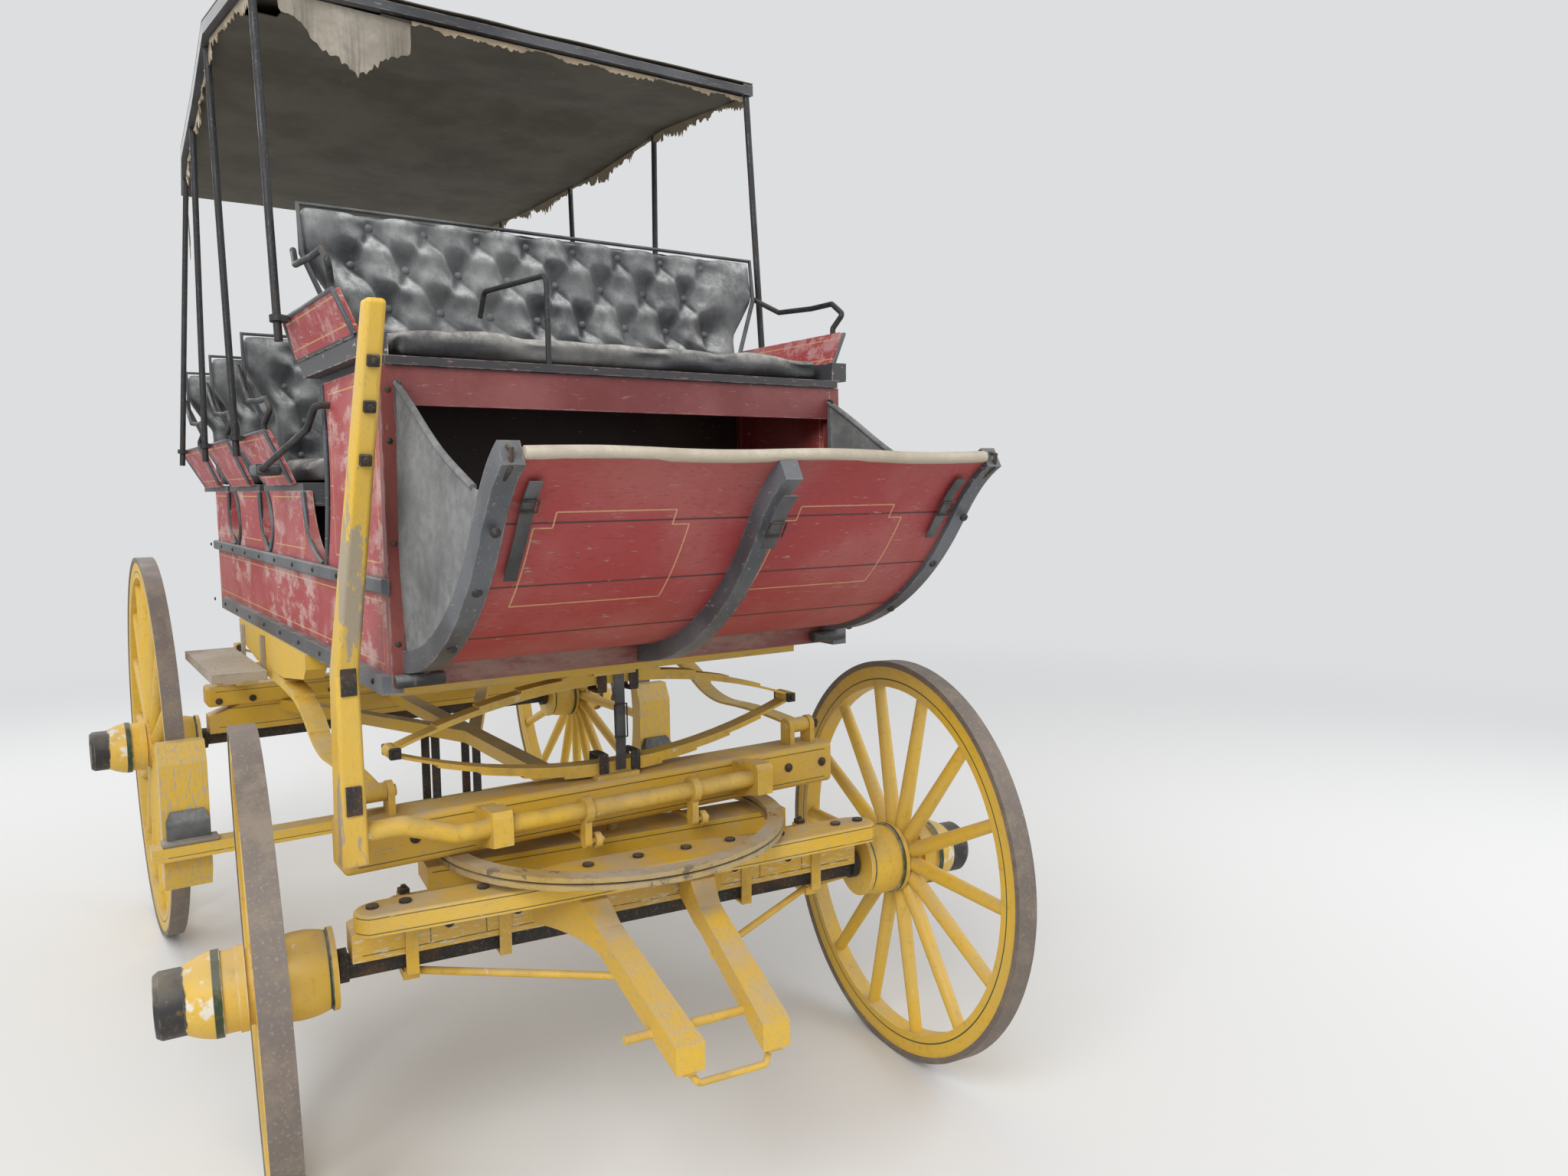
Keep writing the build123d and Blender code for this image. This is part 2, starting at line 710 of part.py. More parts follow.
with BuildPart() as rods:
    for y in crank_lines:
        pin_y = y + 26
        add(
            rod(
                [
                    (shaft_x - 16, pin_y, shaft_z - crank_length),
                    (king_x + bolster_half_depth + 22, pin_y, rod_level),
                    (king_x - 220, pin_y, rod_level),
                    (beam_x + beam_half_depth + 110, pin_y, beam_low + beam_height / 2),
                    (beam_x + beam_half_depth + gap, pin_y, beam_low + beam_height / 2),
                ],
                rod_radius,
                30,
            )
        )
        with Locations((shaft_x, pin_y, shaft_z - crank_length)):
            Cylinder(18, 14, rotation=(90, 0, 0))
            Cylinder(crank_pin_radius + 3, 14, rotation=(90, 0, 0), mode=Mode.SUBTRACT)
save(rods.part, "brake_rods")
# Iron runners that carry the beam, hung from a plate under the reach and hounds
hanger_y = 68.0
hanger_width = 26.0
hanger_wall = 8.0
runner_gap = 0.6
brake_stroke = 18.0
hanger_front = beam_x + beam_half_depth + 8
hanger_rear = beam_x - beam_half_depth - 8 - brake_stroke
reach_slope = (reach_front_low - reach_rear_low) / (reach_front - reach_rear)
hanger_top = reach_rear_low + reach_slope * (hanger_rear - reach_rear) - gap
with BuildPart() as hangers:
    with Locations(((hanger_front + hanger_rear) / 2, 0, hanger_top - hanger_wall / 2)):
        Box(hanger_front - hanger_rear + 2 * hanger_wall, 2 * hanger_y + hanger_width, hanger_wall)
    for side in (-1, 1):
        with BuildSketch(side_plane(side * hanger_y + hanger_width / 2)):
            runner = beam_low - runner_gap
            Polygon(
                (hanger_rear - hanger_wall, runner - hanger_wall),
                (hanger_front + hanger_wall, runner - hanger_wall),
                (hanger_front + hanger_wall, hanger_top),
                (hanger_rear - hanger_wall, hanger_top),
                align=None,
            )
            Polygon(
                (hanger_rear, runner),
                (hanger_front, runner),
                (hanger_front, hanger_top - hanger_wall),
                (hanger_rear, hanger_top - hanger_wall),
                align=None,
                mode=Mode.SUBTRACT,
            )
        extrude(amount=hanger_width)
save(hangers.part, "brake_hangers")

# Steps on both sides, hung from the side blocks
step_middle_x = front_axle_x - 1310.0
step_half_length = 290.0
step_inner_y = body_half_width + 40.0
step_outer_y = body_half_width + 180.0
step_top = sill_z - 98.0
step_thickness = 25.0
with BuildPart() as steps:
    for side in (-1, 1):
        with Locations((step_middle_x, side * (step_inner_y + step_outer_y) / 2, step_top - step_thickness / 2)):
            Box(2 * step_half_length, step_outer_y - step_inner_y, step_thickness)
        for x in (step_middle_x - 170, step_middle_x + 170):
            with BuildSketch(front_plane(x - 18)):
                low = step_top - step_thickness
                root_y = side_spring_y + block_width / 2 + gap
                Polygon(
                    (side * root_y, low - 8),
                    (side * (step_outer_y - 15), low - 8),
                    (side * (step_outer_y - 15), low),
                    (side * (root_y + 8), low),
                    (side * (root_y + 8), sill_z - 12),
                    (side * root_y, sill_z - 12),
                    align=None,
                )
            extrude(amount=36)
save(steps.part, "steps")

# Body floor and sides: one panel a side, with the four seat boxes rising from it
floor_thickness = 25.0
panel_inner = body_half_width - wall
pillar_face = body_front - 25.0
with BuildPart() as floor:
    floor_length = pillar_face - body_rear_face - 2 * wall
    with Locations(((pillar_face + body_rear_face) / 2, 0, floor_z + floor_thickness / 2)):
        Box(floor_length, 2 * (panel_inner - gap), floor_thickness)
save(floor.part, "floor")

seat_board = 20.0
passenger_box_top = seat_z - seat_board
driver_box_top = driver_seat_z - 18.0
# Seat boxes: rear edge at top, waist and foot, front edge at top and foot, top level
seat_boxes = [
    (-360, -333, -397, 85, 85, driver_box_top),
    (-1090, -1030, -1098, -628, -442, passenger_box_top),
    (-1648, -1580, -1627, -1230, -1108, passenger_box_top),
    (body_rear_face - front_axle_x, -2095, -2090, -1800, -1700, passenger_box_top),
]
rail_top = rail_z + rail_height
for side, word in [(-1, "right"), (1, "left")]:
    with BuildPart() as panel:
        start_y = side * (body_half_width - wall / 2) + wall / 2
        with BuildSketch(side_plane(start_y)):
            with Locations(((pillar_face + body_rear_face) / 2, (floor_z + rail_top) / 2)):
                Rectangle(pillar_face - body_rear_face, rail_top - floor_z)
            for rear_top, rear_waist, rear_foot, front_top, front_foot, top in seat_boxes:
                waist = (top + rail_top) / 2
                with BuildLine():
                    foot = Line((front_axle_x + front_foot, rail_top - 5), (front_axle_x + rear_foot, rail_top - 5))
                    if front_top == front_foot:
                        front_edge = Line(foot @ 0, (front_axle_x + front_top, top))
                    else:
                        front_edge = ThreePointArc(
                            foot @ 0,
                            (front_axle_x + front_top + 0.28 * (front_foot - front_top), rail_top + 0.4 * (top - rail_top)),
                            (front_axle_x + front_top, top),
                        )
                    roof_line = Line(front_edge @ 1, (front_axle_x + rear_top, top))
                    ThreePointArc(roof_line @ 1, (front_axle_x + rear_waist, waist), foot @ 1)
                make_face()
        extrude(amount=wall)
    save(panel.part, f"side_panel_{word}")
with BuildPart() as mouldings:
    for side in (-1, 1):
        with BuildSketch(front_plane(body_rear_face + 150)):
            outer = side * (body_half_width + 20)
            face = side * (body_half_width + gap)
            Polygon(
                (side * panel_inner, sill_z),
                (outer, sill_z),
                (outer, sill_z + sill_height),
                (face, sill_z + sill_height),
                (face, floor_z - gap),
                (side * panel_inner, floor_z - gap),
                align=None,
            )
        extrude(amount=body_front - body_rear_face - 150)
        with BuildSketch(front_plane(body_rear_face)):
            with Locations((side * (body_half_width + 8 + gap), rail_z + rail_height / 2)):
                RectangleRounded(16, rail_height, 6)
        extrude(amount=body_front + 8 - body_rear_face)
save(mouldings.part, "side_mouldings")

# Front pillars, front boards, driver's box back and rear panel
with BuildPart() as pillars:
    for side in (-1, 1):
        with Locations((pillar_face + gap + 12.35, side * (body_half_width - 14), (floor_z + driver_box_top) / 2)):
            Box(24.7, 28, driver_box_top - floor_z - 2 * gap)
save(pillars.part, "front_pillars")
board_half_width = body_half_width - 28 - gap
apron_top = sill_z + 76.0
riser_low = driver_seat_z - 95.0
with BuildPart() as boards:
    with Locations((body_front - 11, 0, (floor_z + apron_top) / 2)):
        Box(22, 2 * board_half_width, apron_top - floor_z)
    with Locations((front_axle_x - 340, 0, (floor_z + floor_thickness + driver_box_top) / 2 + gap)):
        Box(20, 2 * (panel_inner - gap), driver_box_top - floor_z - floor_thickness - 4 * gap)
    with Locations((body_rear_face + wall / 2, 0, (floor_z + passenger_box_top) / 2)):
        Box(wall - gap, 2 * (panel_inner - gap), passenger_box_top - floor_z - 2 * gap)
save(boards.part, "cross_panels")

# Seat boards with their front aprons
driver_board_half_width = body_half_width - 9.0
with BuildPart() as driver_board:
    with Locations(((body_front + 8 + front_axle_x - 410) / 2, 0, driver_seat_z - 9)):
        Box(body_front + 8 - front_axle_x + 410, 2 * driver_board_half_width, 18 - gap)
    with Locations((body_front - 11, 0, (riser_low + driver_box_top) / 2)):
        Box(22, 2 * board_half_width, driver_box_top - riser_low)
save(driver_board.part, "driver_seat_board")
# Passenger rows: front edge of the seat, front of the back at the seat and at its top
rows = [(-630, -1082, -1140), (-1230, -1700, -1760), (-1820, -2300, -2370)]
with BuildPart() as seats:
    for seat_front, back_foot, back_top in rows:
        rear = back_foot - 75
        with Locations((front_axle_x + (seat_front + rear) / 2, 0, seat_z - seat_board / 2)):
            Box(seat_front - rear, 2 * body_half_width, seat_board)
        with Locations((front_axle_x + seat_front - 9, 0, seat_z - seat_board - 19)):
            Box(18, 2 * (panel_inner - gap), 40)
save(seats.part, "passenger_seats")

# Cushions and backs
driver_cushion = (100, -282.6, driver_seat_z, 65.0)
passenger_cushion_rows = [(seat_front + 10, back_foot + 0.4, seat_z, 75.0) for seat_front, back_foot, back_top in rows]
cushion_half_width = body_half_width - 20.0


def build_cushion(front, rear, level, height):
    with BuildPart() as cushion:
        with Locations((front_axle_x + (front + rear) / 2, 0, level + gap + height / 2)):
            Box(front - rear, 2 * cushion_half_width, height)
        fillet(cushion.edges().filter_by(Axis.Y).group_by(Axis.Z)[-1], radius=25)
    return cushion.part


save(build_cushion(*driver_cushion), "driver_cushion")
with BuildPart() as passenger_cushions:
    for row in passenger_cushion_rows:
        add(build_cushion(*row))
save(passenger_cushions.part, "passenger_cushions")

back_thickness = 65.0
back_half_width = body_half_width + 44.0
back_foot_half_width = body_half_width - 27.0
# Backs: foot and top of the front face (x, z), levels where the wide part starts and the narrow part ends
driver_back = (-283, driver_seat_z, -336, driver_seat_z + 385, driver_seat_z + 260, driver_seat_z + 147)
passenger_back_rows = [
    (back_foot, seat_z, back_top, seat_z + 435, seat_z + 321, seat_z + 215) for seat_front, back_foot, back_top in rows
]


def build_back(foot_x, foot_z, top_x, top_z, wide_z, narrow_z):
    lean = Vector(top_x - foot_x, 0, top_z - foot_z)
    length = lean.length
    wide = (wide_z - foot_z) / (top_z - foot_z) * length
    narrow = (narrow_z - foot_z) / (top_z - foot_z) * length
    face = Plane(
        origin=(front_axle_x + foot_x, 0, foot_z + back_thickness * (foot_x - top_x) / length + gap),
        x_dir=(0, 1, 0),
        z_dir=Vector(0, 1, 0).cross(lean),
    )
    with BuildPart() as back:
        with BuildSketch(face):
            Polygon(
                (-back_foot_half_width, 0),
                (back_foot_half_width, 0),
                (back_foot_half_width, narrow),
                (back_half_width, wide),
                (back_half_width, length - 10),
                (-back_half_width, length - 10),
                (-back_half_width, wide),
                (-back_foot_half_width, narrow),
                align=None,
            )
        extrude(amount=-back_thickness)
    return back.part


save(build_back(*driver_back), "driver_back")
with BuildPart() as passenger_backs:
    for row in passenger_back_rows:
        add(build_back(*row))
save(passenger_backs.part, "passenger_backs")

# Flared panels at the ends of each seat
end_thickness = 14.0
driver_end_top = driver_seat_z + 132.0
passenger_end_top = seat_z + 135.0
# Seat ends: rear and front edge at the foot, foot level, the same at the top, half widths at foot and top
driver_end_y = (body_half_width + 15, body_half_width + 52)
passenger_end_y = (body_half_width + 2, body_half_width + 57)
seat_ends = [(-487, 50, driver_seat_z + 45, -418, 50, driver_end_top, *driver_end_y)]
for seat_front, back_foot, back_top in rows:
    seat_ends.append(
        (
            seat_front - 400,
            seat_front - 63,
            seat_z + gap,
            seat_front - 538,
            seat_front - 64,
            passenger_end_top,
            *passenger_end_y,
        )
    )
ledge_y = body_half_width + 3.0
with BuildPart() as ends:
    for side in (-1, 1):
        for low_rear, low_front, low_z, high_rear, high_front, high_z, low_y, high_y in seat_ends:
            flare = Vector(0, side * (high_y - low_y), high_z - low_z)
            slope = Plane(
                origin=(front_axle_x, side * low_y, low_z),
                x_dir=(1, 0, 0),
                z_dir=Vector(1, 0, 0).cross(flare),
            )
            with BuildSketch(slope):
                Polygon(
                    (low_rear, 0),
                    (low_front, 0),
                    (high_front, flare.length),
                    (high_rear, flare.length),
                    align=None,
                )
            extrude(amount=-side * end_thickness)
        with BuildSketch(side_plane(side * ledge_y + 22)):
            Polygon(
                (front_axle_x - 510, driver_seat_z + 57),
                (front_axle_x - 440, driver_seat_z),
                (body_front, driver_seat_z),
                (body_front, driver_seat_z + 45),
                (front_axle_x - 430, driver_seat_z + 45),
                (front_axle_x - 500, driver_seat_z + 72),
                align=None,
            )
        extrude(amount=44)
save(ends.part, "seat_ends")

# Arm irons from the seat ends' front top corners back to the sides of the backs
arm_iron_radius = 7.0
arm_iron_y = driver_end_y[1] + 17.0
# Points of the driver's iron: x from the seat end's front edge, rise above the seat end
iron_points = [(-9, 48), (-55, 80), (-146, 80), (-298, 90)]
# Irons: seat end's front edge, top and half width, half width of the iron, then the back's own values
driver_iron = (50, driver_end_top, driver_end_y[1], arm_iron_y, *driver_back)
arm_irons = [driver_iron] + [
    (seat_front - 64, passenger_end_top, passenger_end_y[1], passenger_end_y[1] - 4, *back)
    for (seat_front, back_foot, back_top), back in zip(rows, passenger_back_rows)
]
divider_y = -210.0
with BuildPart() as irons:
    for end_front, end_top, end_y, iron_y, foot_x, foot_z, top_x, top_z, wide_z, narrow_z in arm_irons:
        last_z = wide_z + 12
        last_x = foot_x + (top_x - foot_x) * (last_z - foot_z) / (top_z - foot_z) - back_thickness / 2
        for side in (-1, 1):
            root_y = side * (end_y + end_thickness / 2 - 0.5)
            path = [
                (front_axle_x + end_front - 38, root_y, end_top + gap),
                (front_axle_x + end_front - 38, root_y, end_top + 14),
            ]
            path += [(front_axle_x + end_front + x, side * iron_y, end_top + rise) for x, rise in iron_points]
            path += [(front_axle_x + last_x, side * (back_half_width + gap + arm_iron_radius), last_z)]
            add(rod(path, arm_iron_radius, 9))
    divider_end_x = -283 - 53 * 149 / 385 + 7
    divider = [
        (front_axle_x + 108, divider_y, driver_seat_z + gap),
        (front_axle_x + 108, divider_y, driver_seat_z + 185),
        (front_axle_x - 262, divider_y, driver_seat_z + 205),
        (front_axle_x + divider_end_x, divider_y, driver_seat_z + 149),
    ]
    add(rod(divider, 6.0, 22))
save(irons.part, "arm_irons")

# Guard irons beside the second row's entry, each ending in a leather bound block
guard_radius = 8.0
guard_points = [(-310, 0.5, -70), (-310, 30, -70), (-385, 34, -120), (-696, 80, -205)]
with BuildPart() as guards:
    for side in (-1, 1):
        path = [(front_axle_x + x, side * (body_half_width + out), driver_seat_z + rise) for x, out, rise in guard_points]
        add(rod(path, guard_radius, 16))
        with Locations((front_axle_x - 740, side * (body_half_width + 65), driver_seat_z - 206)):
            Box(90, 56, 26)
save(guards.part, "guard_irons")

# Footboard: curved board from the body front up to the driver's feet, its ribs and side curtains
footboard_half_width = body_half_width - 60.0
footboard_thickness = 20.0
# Points of the board's middle line: x from the front axle, rise above the sill
footboard_points = [(90, 63), (254, 93), (439, 198), (543, 310), (592, 380), (680, 460)]
rib_width = 38.0
rib_depth = 44.0


def footboard_shape(half_width, centre_y, thickness):
    with BuildPart() as shape:
        with BuildSketch(side_plane(centre_y + half_width)):
            with BuildLine():
                Spline(*[(front_axle_x + x, sill_z + rise) for x, rise in footboard_points])
            trace(line_width=thickness)
        extrude(amount=2 * half_width)
        with Locations((body_front + gap - 100, centre_y, sill_z + 60)):
            Box(200, 2 * half_width + 10, 300, mode=Mode.SUBTRACT)
    return shape.part


save(footboard_shape(footboard_half_width, 0, footboard_thickness), "footboard")
outer_rib_y = footboard_half_width + gap + rib_width / 2
with BuildPart() as middle_rib:
    add(footboard_shape(rib_width / 2, 0, footboard_thickness + 2 * 40))
    add(footboard_shape(rib_width, 0, footboard_thickness + 2 * gap), mode=Mode.SUBTRACT)
with BuildPart() as ribs:
    for side in (-1, 1):
        add(footboard_shape(rib_width / 2, side * outer_rib_y, rib_depth))
    add(middle_rib.part.solids().sort_by(Axis.Z)[0])
save(ribs.part, "footboard_ribs")
curtain_y = footboard_half_width + 27.0
curtain_thickness = 4.0
with BuildPart() as curtains:
    for side in (-1, 1):
        with BuildSketch(side_plane(side * curtain_y + curtain_thickness / 2)):
            with BuildLine():
                front_x = body_front + gap
                top_edge = ThreePointArc(
                    (front_x, driver_seat_z - 55), (front_axle_x + 300, sill_z + 428), (front_axle_x + 545, sill_z + 345)
                )
                low_edge = Spline(
                    *[(front_axle_x + x, sill_z + rise) for x, rise in [(543, 310), (439, 198), (254, 93), (111, 66)]]
                )
                Line(top_edge @ 1, low_edge @ 0)
                Line(low_edge @ 1, top_edge @ 0)
            make_face()
        extrude(amount=curtain_thickness)
        add(footboard_shape(rib_width / 2, side * outer_rib_y, rib_depth + 2 * gap), mode=Mode.SUBTRACT)
save(curtains.part, "side_curtains")

# Canopy: sagging side rails, cross bows, cloth, iron posts and their eye brackets
rail_section = 30.0
# Rail stations: x from the front axle, half width, level above the roof's lowest corner
roof_front = -425.0
roof_rear = rear_axle_x - front_axle_x - 370.0
roof_stations = [
    (roof_front, body_half_width + 108, 0.0),
    (-950, body_half_width + 124, 50.0),
    (-1400, body_half_width + 98, 8.0),
    (-1950, body_half_width + 66, -8.0),
    (roof_rear, body_half_width + 12, -14.0),
]


def roof_at(x):
    # Half width and underside level of the rail at x, straight between the stations.
    for (x_a, y_a, z_a), (x_b, y_b, z_b) in zip(roof_stations, roof_stations[1:]):
        if x_a >= x >= x_b:
            share = (x_a - x) / (x_a - x_b)
            return y_a + share * (y_b - y_a), roof_z + z_a + share * (z_b - z_a)
    return roof_stations[0][1], roof_z


with BuildPart() as roof_frame:
    for side in (-1, 1):
        for x, half_width, rise in roof_stations:
            with BuildSketch(front_plane(front_axle_x + x)):
                with Locations((side * (half_width - rail_section / 2), roof_z + rise + rail_section / 2)):
                    Rectangle(rail_section, rail_section)
        loft(ruled=True)
    for x, half_width, rise in roof_stations:
        if x == roof_front:
            bow_x = front_axle_x + x - 12
        elif x == roof_rear:
            bow_x = front_axle_x + x + 12
        else:
            bow_x = front_axle_x + x
        with Locations((bow_x, 0, roof_z + rise + 13)):
            Box(24, 2 * half_width - rail_section, 22)
save(roof_frame.part, "roof_frame")
with BuildPart() as roof_cloth:
    for x, half_width, rise in roof_stations:
        with BuildSketch(front_plane(front_axle_x + x)):
            with Locations((0, roof_z + rise + rail_section + gap + 3.5)):
                Rectangle(2 * half_width, 7)
    loft(ruled=True)
save(roof_cloth.part, "roof_cloth")
post_radius = 9.0
post_foot_y = arm_iron_y + 20.0
bracket_height = 14.0
# Posts: foot x, level of the bracket, half width of the seat end there, top x
posts = [(-360, driver_end_top, driver_end_y[1], -440)]
for (seat_front, back_foot, back_top), drift in zip(rows, (-10, -10, -10)):
    posts.append((seat_front - 380, passenger_end_top, passenger_end_y[1], seat_front - 380 + drift))
with BuildPart() as roof_posts:
    for foot_x, level, end_y, top_x in posts:
        half_width, underside = roof_at(top_x)
        for side in (-1, 1):
            low = (front_axle_x + foot_x, side * post_foot_y, level - 60)
            high = (front_axle_x + top_x, side * (half_width - rail_section / 2), underside - 1.3)
            add(rod([low, high], post_radius, 0))
save(roof_posts.part, "roof_posts")
with BuildPart() as brackets:
    for foot_x, level, end_y, top_x in posts:
        half_width, underside = roof_at(top_x)
        for side in (-1, 1):
            low = Vector(front_axle_x + foot_x, side * post_foot_y, level - 60)
            high = Vector(front_axle_x + top_x, side * (half_width - rail_section / 2), underside - 1.3)
            along = (high - low).normalized()
            eye = low + along * 50
            plate_y = end_y + end_thickness + 1
            with Locations((eye.X, side * (plate_y + post_foot_y) / 2, eye.Z)):
                Box(30, post_foot_y - plate_y, bracket_height)
            with Locations(Plane(origin=eye, z_dir=along)):
                Cylinder(post_radius + 7, bracket_height)
                Cylinder(post_radius + gap, 60, mode=Mode.SUBTRACT)
save(brackets.part, "post_brackets")
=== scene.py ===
import bpy
import math
import random
from mathutils import Matrix, Vector, noise as mathnoise


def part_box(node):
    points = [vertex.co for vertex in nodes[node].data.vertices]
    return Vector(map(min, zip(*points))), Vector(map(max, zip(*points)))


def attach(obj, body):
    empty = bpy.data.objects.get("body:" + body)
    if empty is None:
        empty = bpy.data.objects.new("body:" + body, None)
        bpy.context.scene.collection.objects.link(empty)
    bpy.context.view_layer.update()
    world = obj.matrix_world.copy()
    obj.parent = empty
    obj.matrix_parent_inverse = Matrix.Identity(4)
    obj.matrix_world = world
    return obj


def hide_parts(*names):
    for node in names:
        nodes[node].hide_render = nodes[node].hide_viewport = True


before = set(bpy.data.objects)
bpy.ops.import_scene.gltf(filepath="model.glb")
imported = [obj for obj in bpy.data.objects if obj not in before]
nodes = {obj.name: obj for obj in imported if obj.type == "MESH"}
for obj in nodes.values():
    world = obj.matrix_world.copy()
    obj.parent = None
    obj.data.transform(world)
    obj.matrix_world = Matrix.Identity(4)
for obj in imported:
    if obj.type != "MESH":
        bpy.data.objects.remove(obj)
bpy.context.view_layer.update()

# The studio: a pale floor, a pale sky and three large soft lamps.
# The camera stands where the photographer did, low before the coach's right front corner.
front_axle = 1.0178


def at(x, y, z):
    # A place given from the front axle's middle, as the coach was measured.
    return front_axle + x, y, z


bpy.ops.object.select_all(action="DESELECT")
scene = bpy.context.scene
scene.view_settings.view_transform = "Standard"
camera = bpy.data.objects.new("studio_camera", bpy.data.cameras.new("studio_camera"))
scene.collection.objects.link(camera)
scene.camera = camera
camera.data.sensor_width = 36
camera.data.lens = 1432 / 2048 * camera.data.sensor_width
camera.data.clip_end = 100
yaw, pitch, roll = math.radians(145.14), math.radians(-5.29), math.radians(0.57)
forward = Vector((math.cos(yaw) * math.cos(pitch), math.sin(yaw) * math.cos(pitch), math.sin(pitch)))
level_right = forward.cross(Vector((0, 0, 1))).normalized()
level_down = forward.cross(level_right).normalized()
view_right = math.cos(roll) * level_right + math.sin(roll) * level_down
view_down = -math.sin(roll) * level_right + math.cos(roll) * level_down
camera_place = Matrix.Translation(at(2.316, -1.149, 1.544))
camera.matrix_world = camera_place @ Matrix((view_right, -view_down, -forward)).transposed().to_4x4()


def link(tree, socket, value):
    if isinstance(value, bpy.types.NodeSocket):
        tree.links.new(value, socket)
    elif isinstance(value, tuple) and len(value) == 3 and len(socket.default_value) == 4:
        socket.default_value = (*value, 1)
    else:
        socket.default_value = value


def node(tree, kind, inputs=None, **settings):
    # One shader node with its settings and what its sockets hold; gives its outputs.
    made = tree.nodes.new(f"ShaderNode{kind}")
    for setting, value in settings.items():
        setattr(made, setting, value)
    for socket, value in (inputs or {}).items():
        link(tree, made.inputs[socket], value)
    return made.outputs


def maths(tree, operation, first, second=0.0):
    return node(tree, "Math", {0: first, 1: second}, operation=operation)[0]


def times(tree, first, second):
    return maths(tree, "MULTIPLY", first, second)


def ramp(tree, value, low, high, start=0.0, end=1.0):
    inputs = dict(enumerate((value, low, high, start, end)))
    return node(tree, "MapRange", inputs, interpolation_type="SMOOTHSTEP")[0]


def backdrop_rays(tree):
    # 1 for what the camera sees, straight or through gloss and glass.
    path = node(tree, "LightPath")
    straight = maths(tree, "MAXIMUM", path["Is Camera Ray"], path["Is Glossy Ray"])
    return maths(tree, "MAXIMUM", straight, path["Is Transmission Ray"])


pale_grey = (0.72, 0.73, 0.745)
bpy.ops.mesh.primitive_plane_add(size=60, location=(0, 0, 0))
floor = bpy.context.object
floor.name = "studio_floor"
floor_paint = bpy.data.materials.new("studio_floor")
floor_paint.use_nodes = True
tree = floor_paint.node_tree
link(tree, tree.nodes["Principled BSDF"].inputs["Base Color"], (0.72, 0.72, 0.71))
tree.nodes["Principled BSDF"].inputs["Roughness"].default_value = 0.9
far = node(tree, "VectorMath", {0: node(tree, "TexCoord")["Object"]}, operation="LENGTH")["Value"]
seen = times(tree, ramp(tree, far, 3.2, 8.5), backdrop_rays(tree))
backdrop = node(tree, "Emission", {"Color": pale_grey})[0]
blend_in = node(tree, "MixShader", {0: seen, 1: tree.nodes["Principled BSDF"].outputs[0], 2: backdrop})[0]
tree.links.new(blend_in, tree.nodes["Material Output"].inputs["Surface"])
floor.data.materials.append(floor_paint)
world = bpy.data.worlds.new("studio")
scene.world = world
world.use_nodes = True
tree = world.node_tree
link(tree, tree.nodes["Background"].inputs["Color"], (0.92, 0.93, 0.95))
tree.nodes["Background"].inputs["Strength"].default_value = 0.7
sky = node(tree, "Background", {"Color": pale_grey})[0]
both = node(tree, "MixShader", {0: backdrop_rays(tree), 1: tree.nodes["Background"].outputs[0], 2: sky})[0]
tree.links.new(both, tree.nodes["World Output"].inputs["Surface"])
for name, energy, size, place in [
    ("key_lamp", 330, 4.0, (4.5, -4.0, 5.0)),
    ("fill_lamp", 130, 5.0, (3.0, 5.0, 3.5)),
    ("back_lamp", 150, 4.0, (-5.0, -2.0, 5.0)),
]:
    lamp = bpy.data.objects.new(name, bpy.data.lights.new(name, "AREA"))
    lamp.data.energy = energy
    lamp.data.size = size
    lamp.location = place
    lamp.rotation_euler = (Vector((0, 0, 1.2)) - Vector(place)).to_track_quat("-Z", "Y").to_euler()
    scene.collection.objects.link(lamp)

# Wheels: ash spokes and felloes under old yellow paint, with a dark green line on the felloes.
# The turned elm hub has a worn black nose, a flaking yellow bulge and dark green rings.


def mix_colour(tree, share, first, second):
    return node(tree, "Mix", {0: share, 6: first, 7: second}, data_type="RGBA")[2]


def between(tree, value, low, high, soft=0.0012):
    # 1 inside low..high, fading over a soft edge.
    up = ramp(tree, value, low - soft, low + soft)
    return maths(tree, "SUBTRACT", up, ramp(tree, value, high - soft, high + soft))


def thin_line(tree, value, level, half, soft=0.0005):
    return between(tree, value, level - half, level + half, soft)


def grain_noise(tree, place, scale, detail=4.0, stretch=(1, 1, 1), rough=0.55):
    if stretch != (1, 1, 1):
        place = node(tree, "Mapping", {"Vector": place, "Scale": stretch})[0]
    inputs = {"Vector": place, "Scale": scale, "Detail": detail, "Roughness": rough}
    return node(tree, "TexNoise", inputs)["Fac"]


def axes(tree, vector):
    return node(tree, "SeparateXYZ", {0: vector})


def facing_up(tree):
    return axes(tree, node(tree, "NewGeometry")["Normal"])[2]


def seen_from(tree, place, centre, turned):
    # The place as the piece itself sees it, from its own centre and turned with it.
    return node(tree, "Mapping", {"Vector": place, "Location": centre, "Rotation": turned}, vector_type="TEXTURE")[0]


def edge_wear(tree, radius):
    # Where the surface turns within this radius: the arrises that hands and boots rub.
    rounded = node(tree, "Bevel", {"Radius": radius}, samples=4)[0]
    flat = node(tree, "NewGeometry")["Normal"]
    turn = node(tree, "VectorMath", {0: rounded, 1: flat}, operation="DOT_PRODUCT")["Value"]
    return ramp(tree, turn, 0.985, 0.86)


def new_finish(name):
    # An empty material: itself, its node tree, and the place on the piece.
    material = bpy.data.materials.new(name)
    material.use_nodes = True
    return material, material.node_tree, node(material.node_tree, "TexCoord")["Object"]


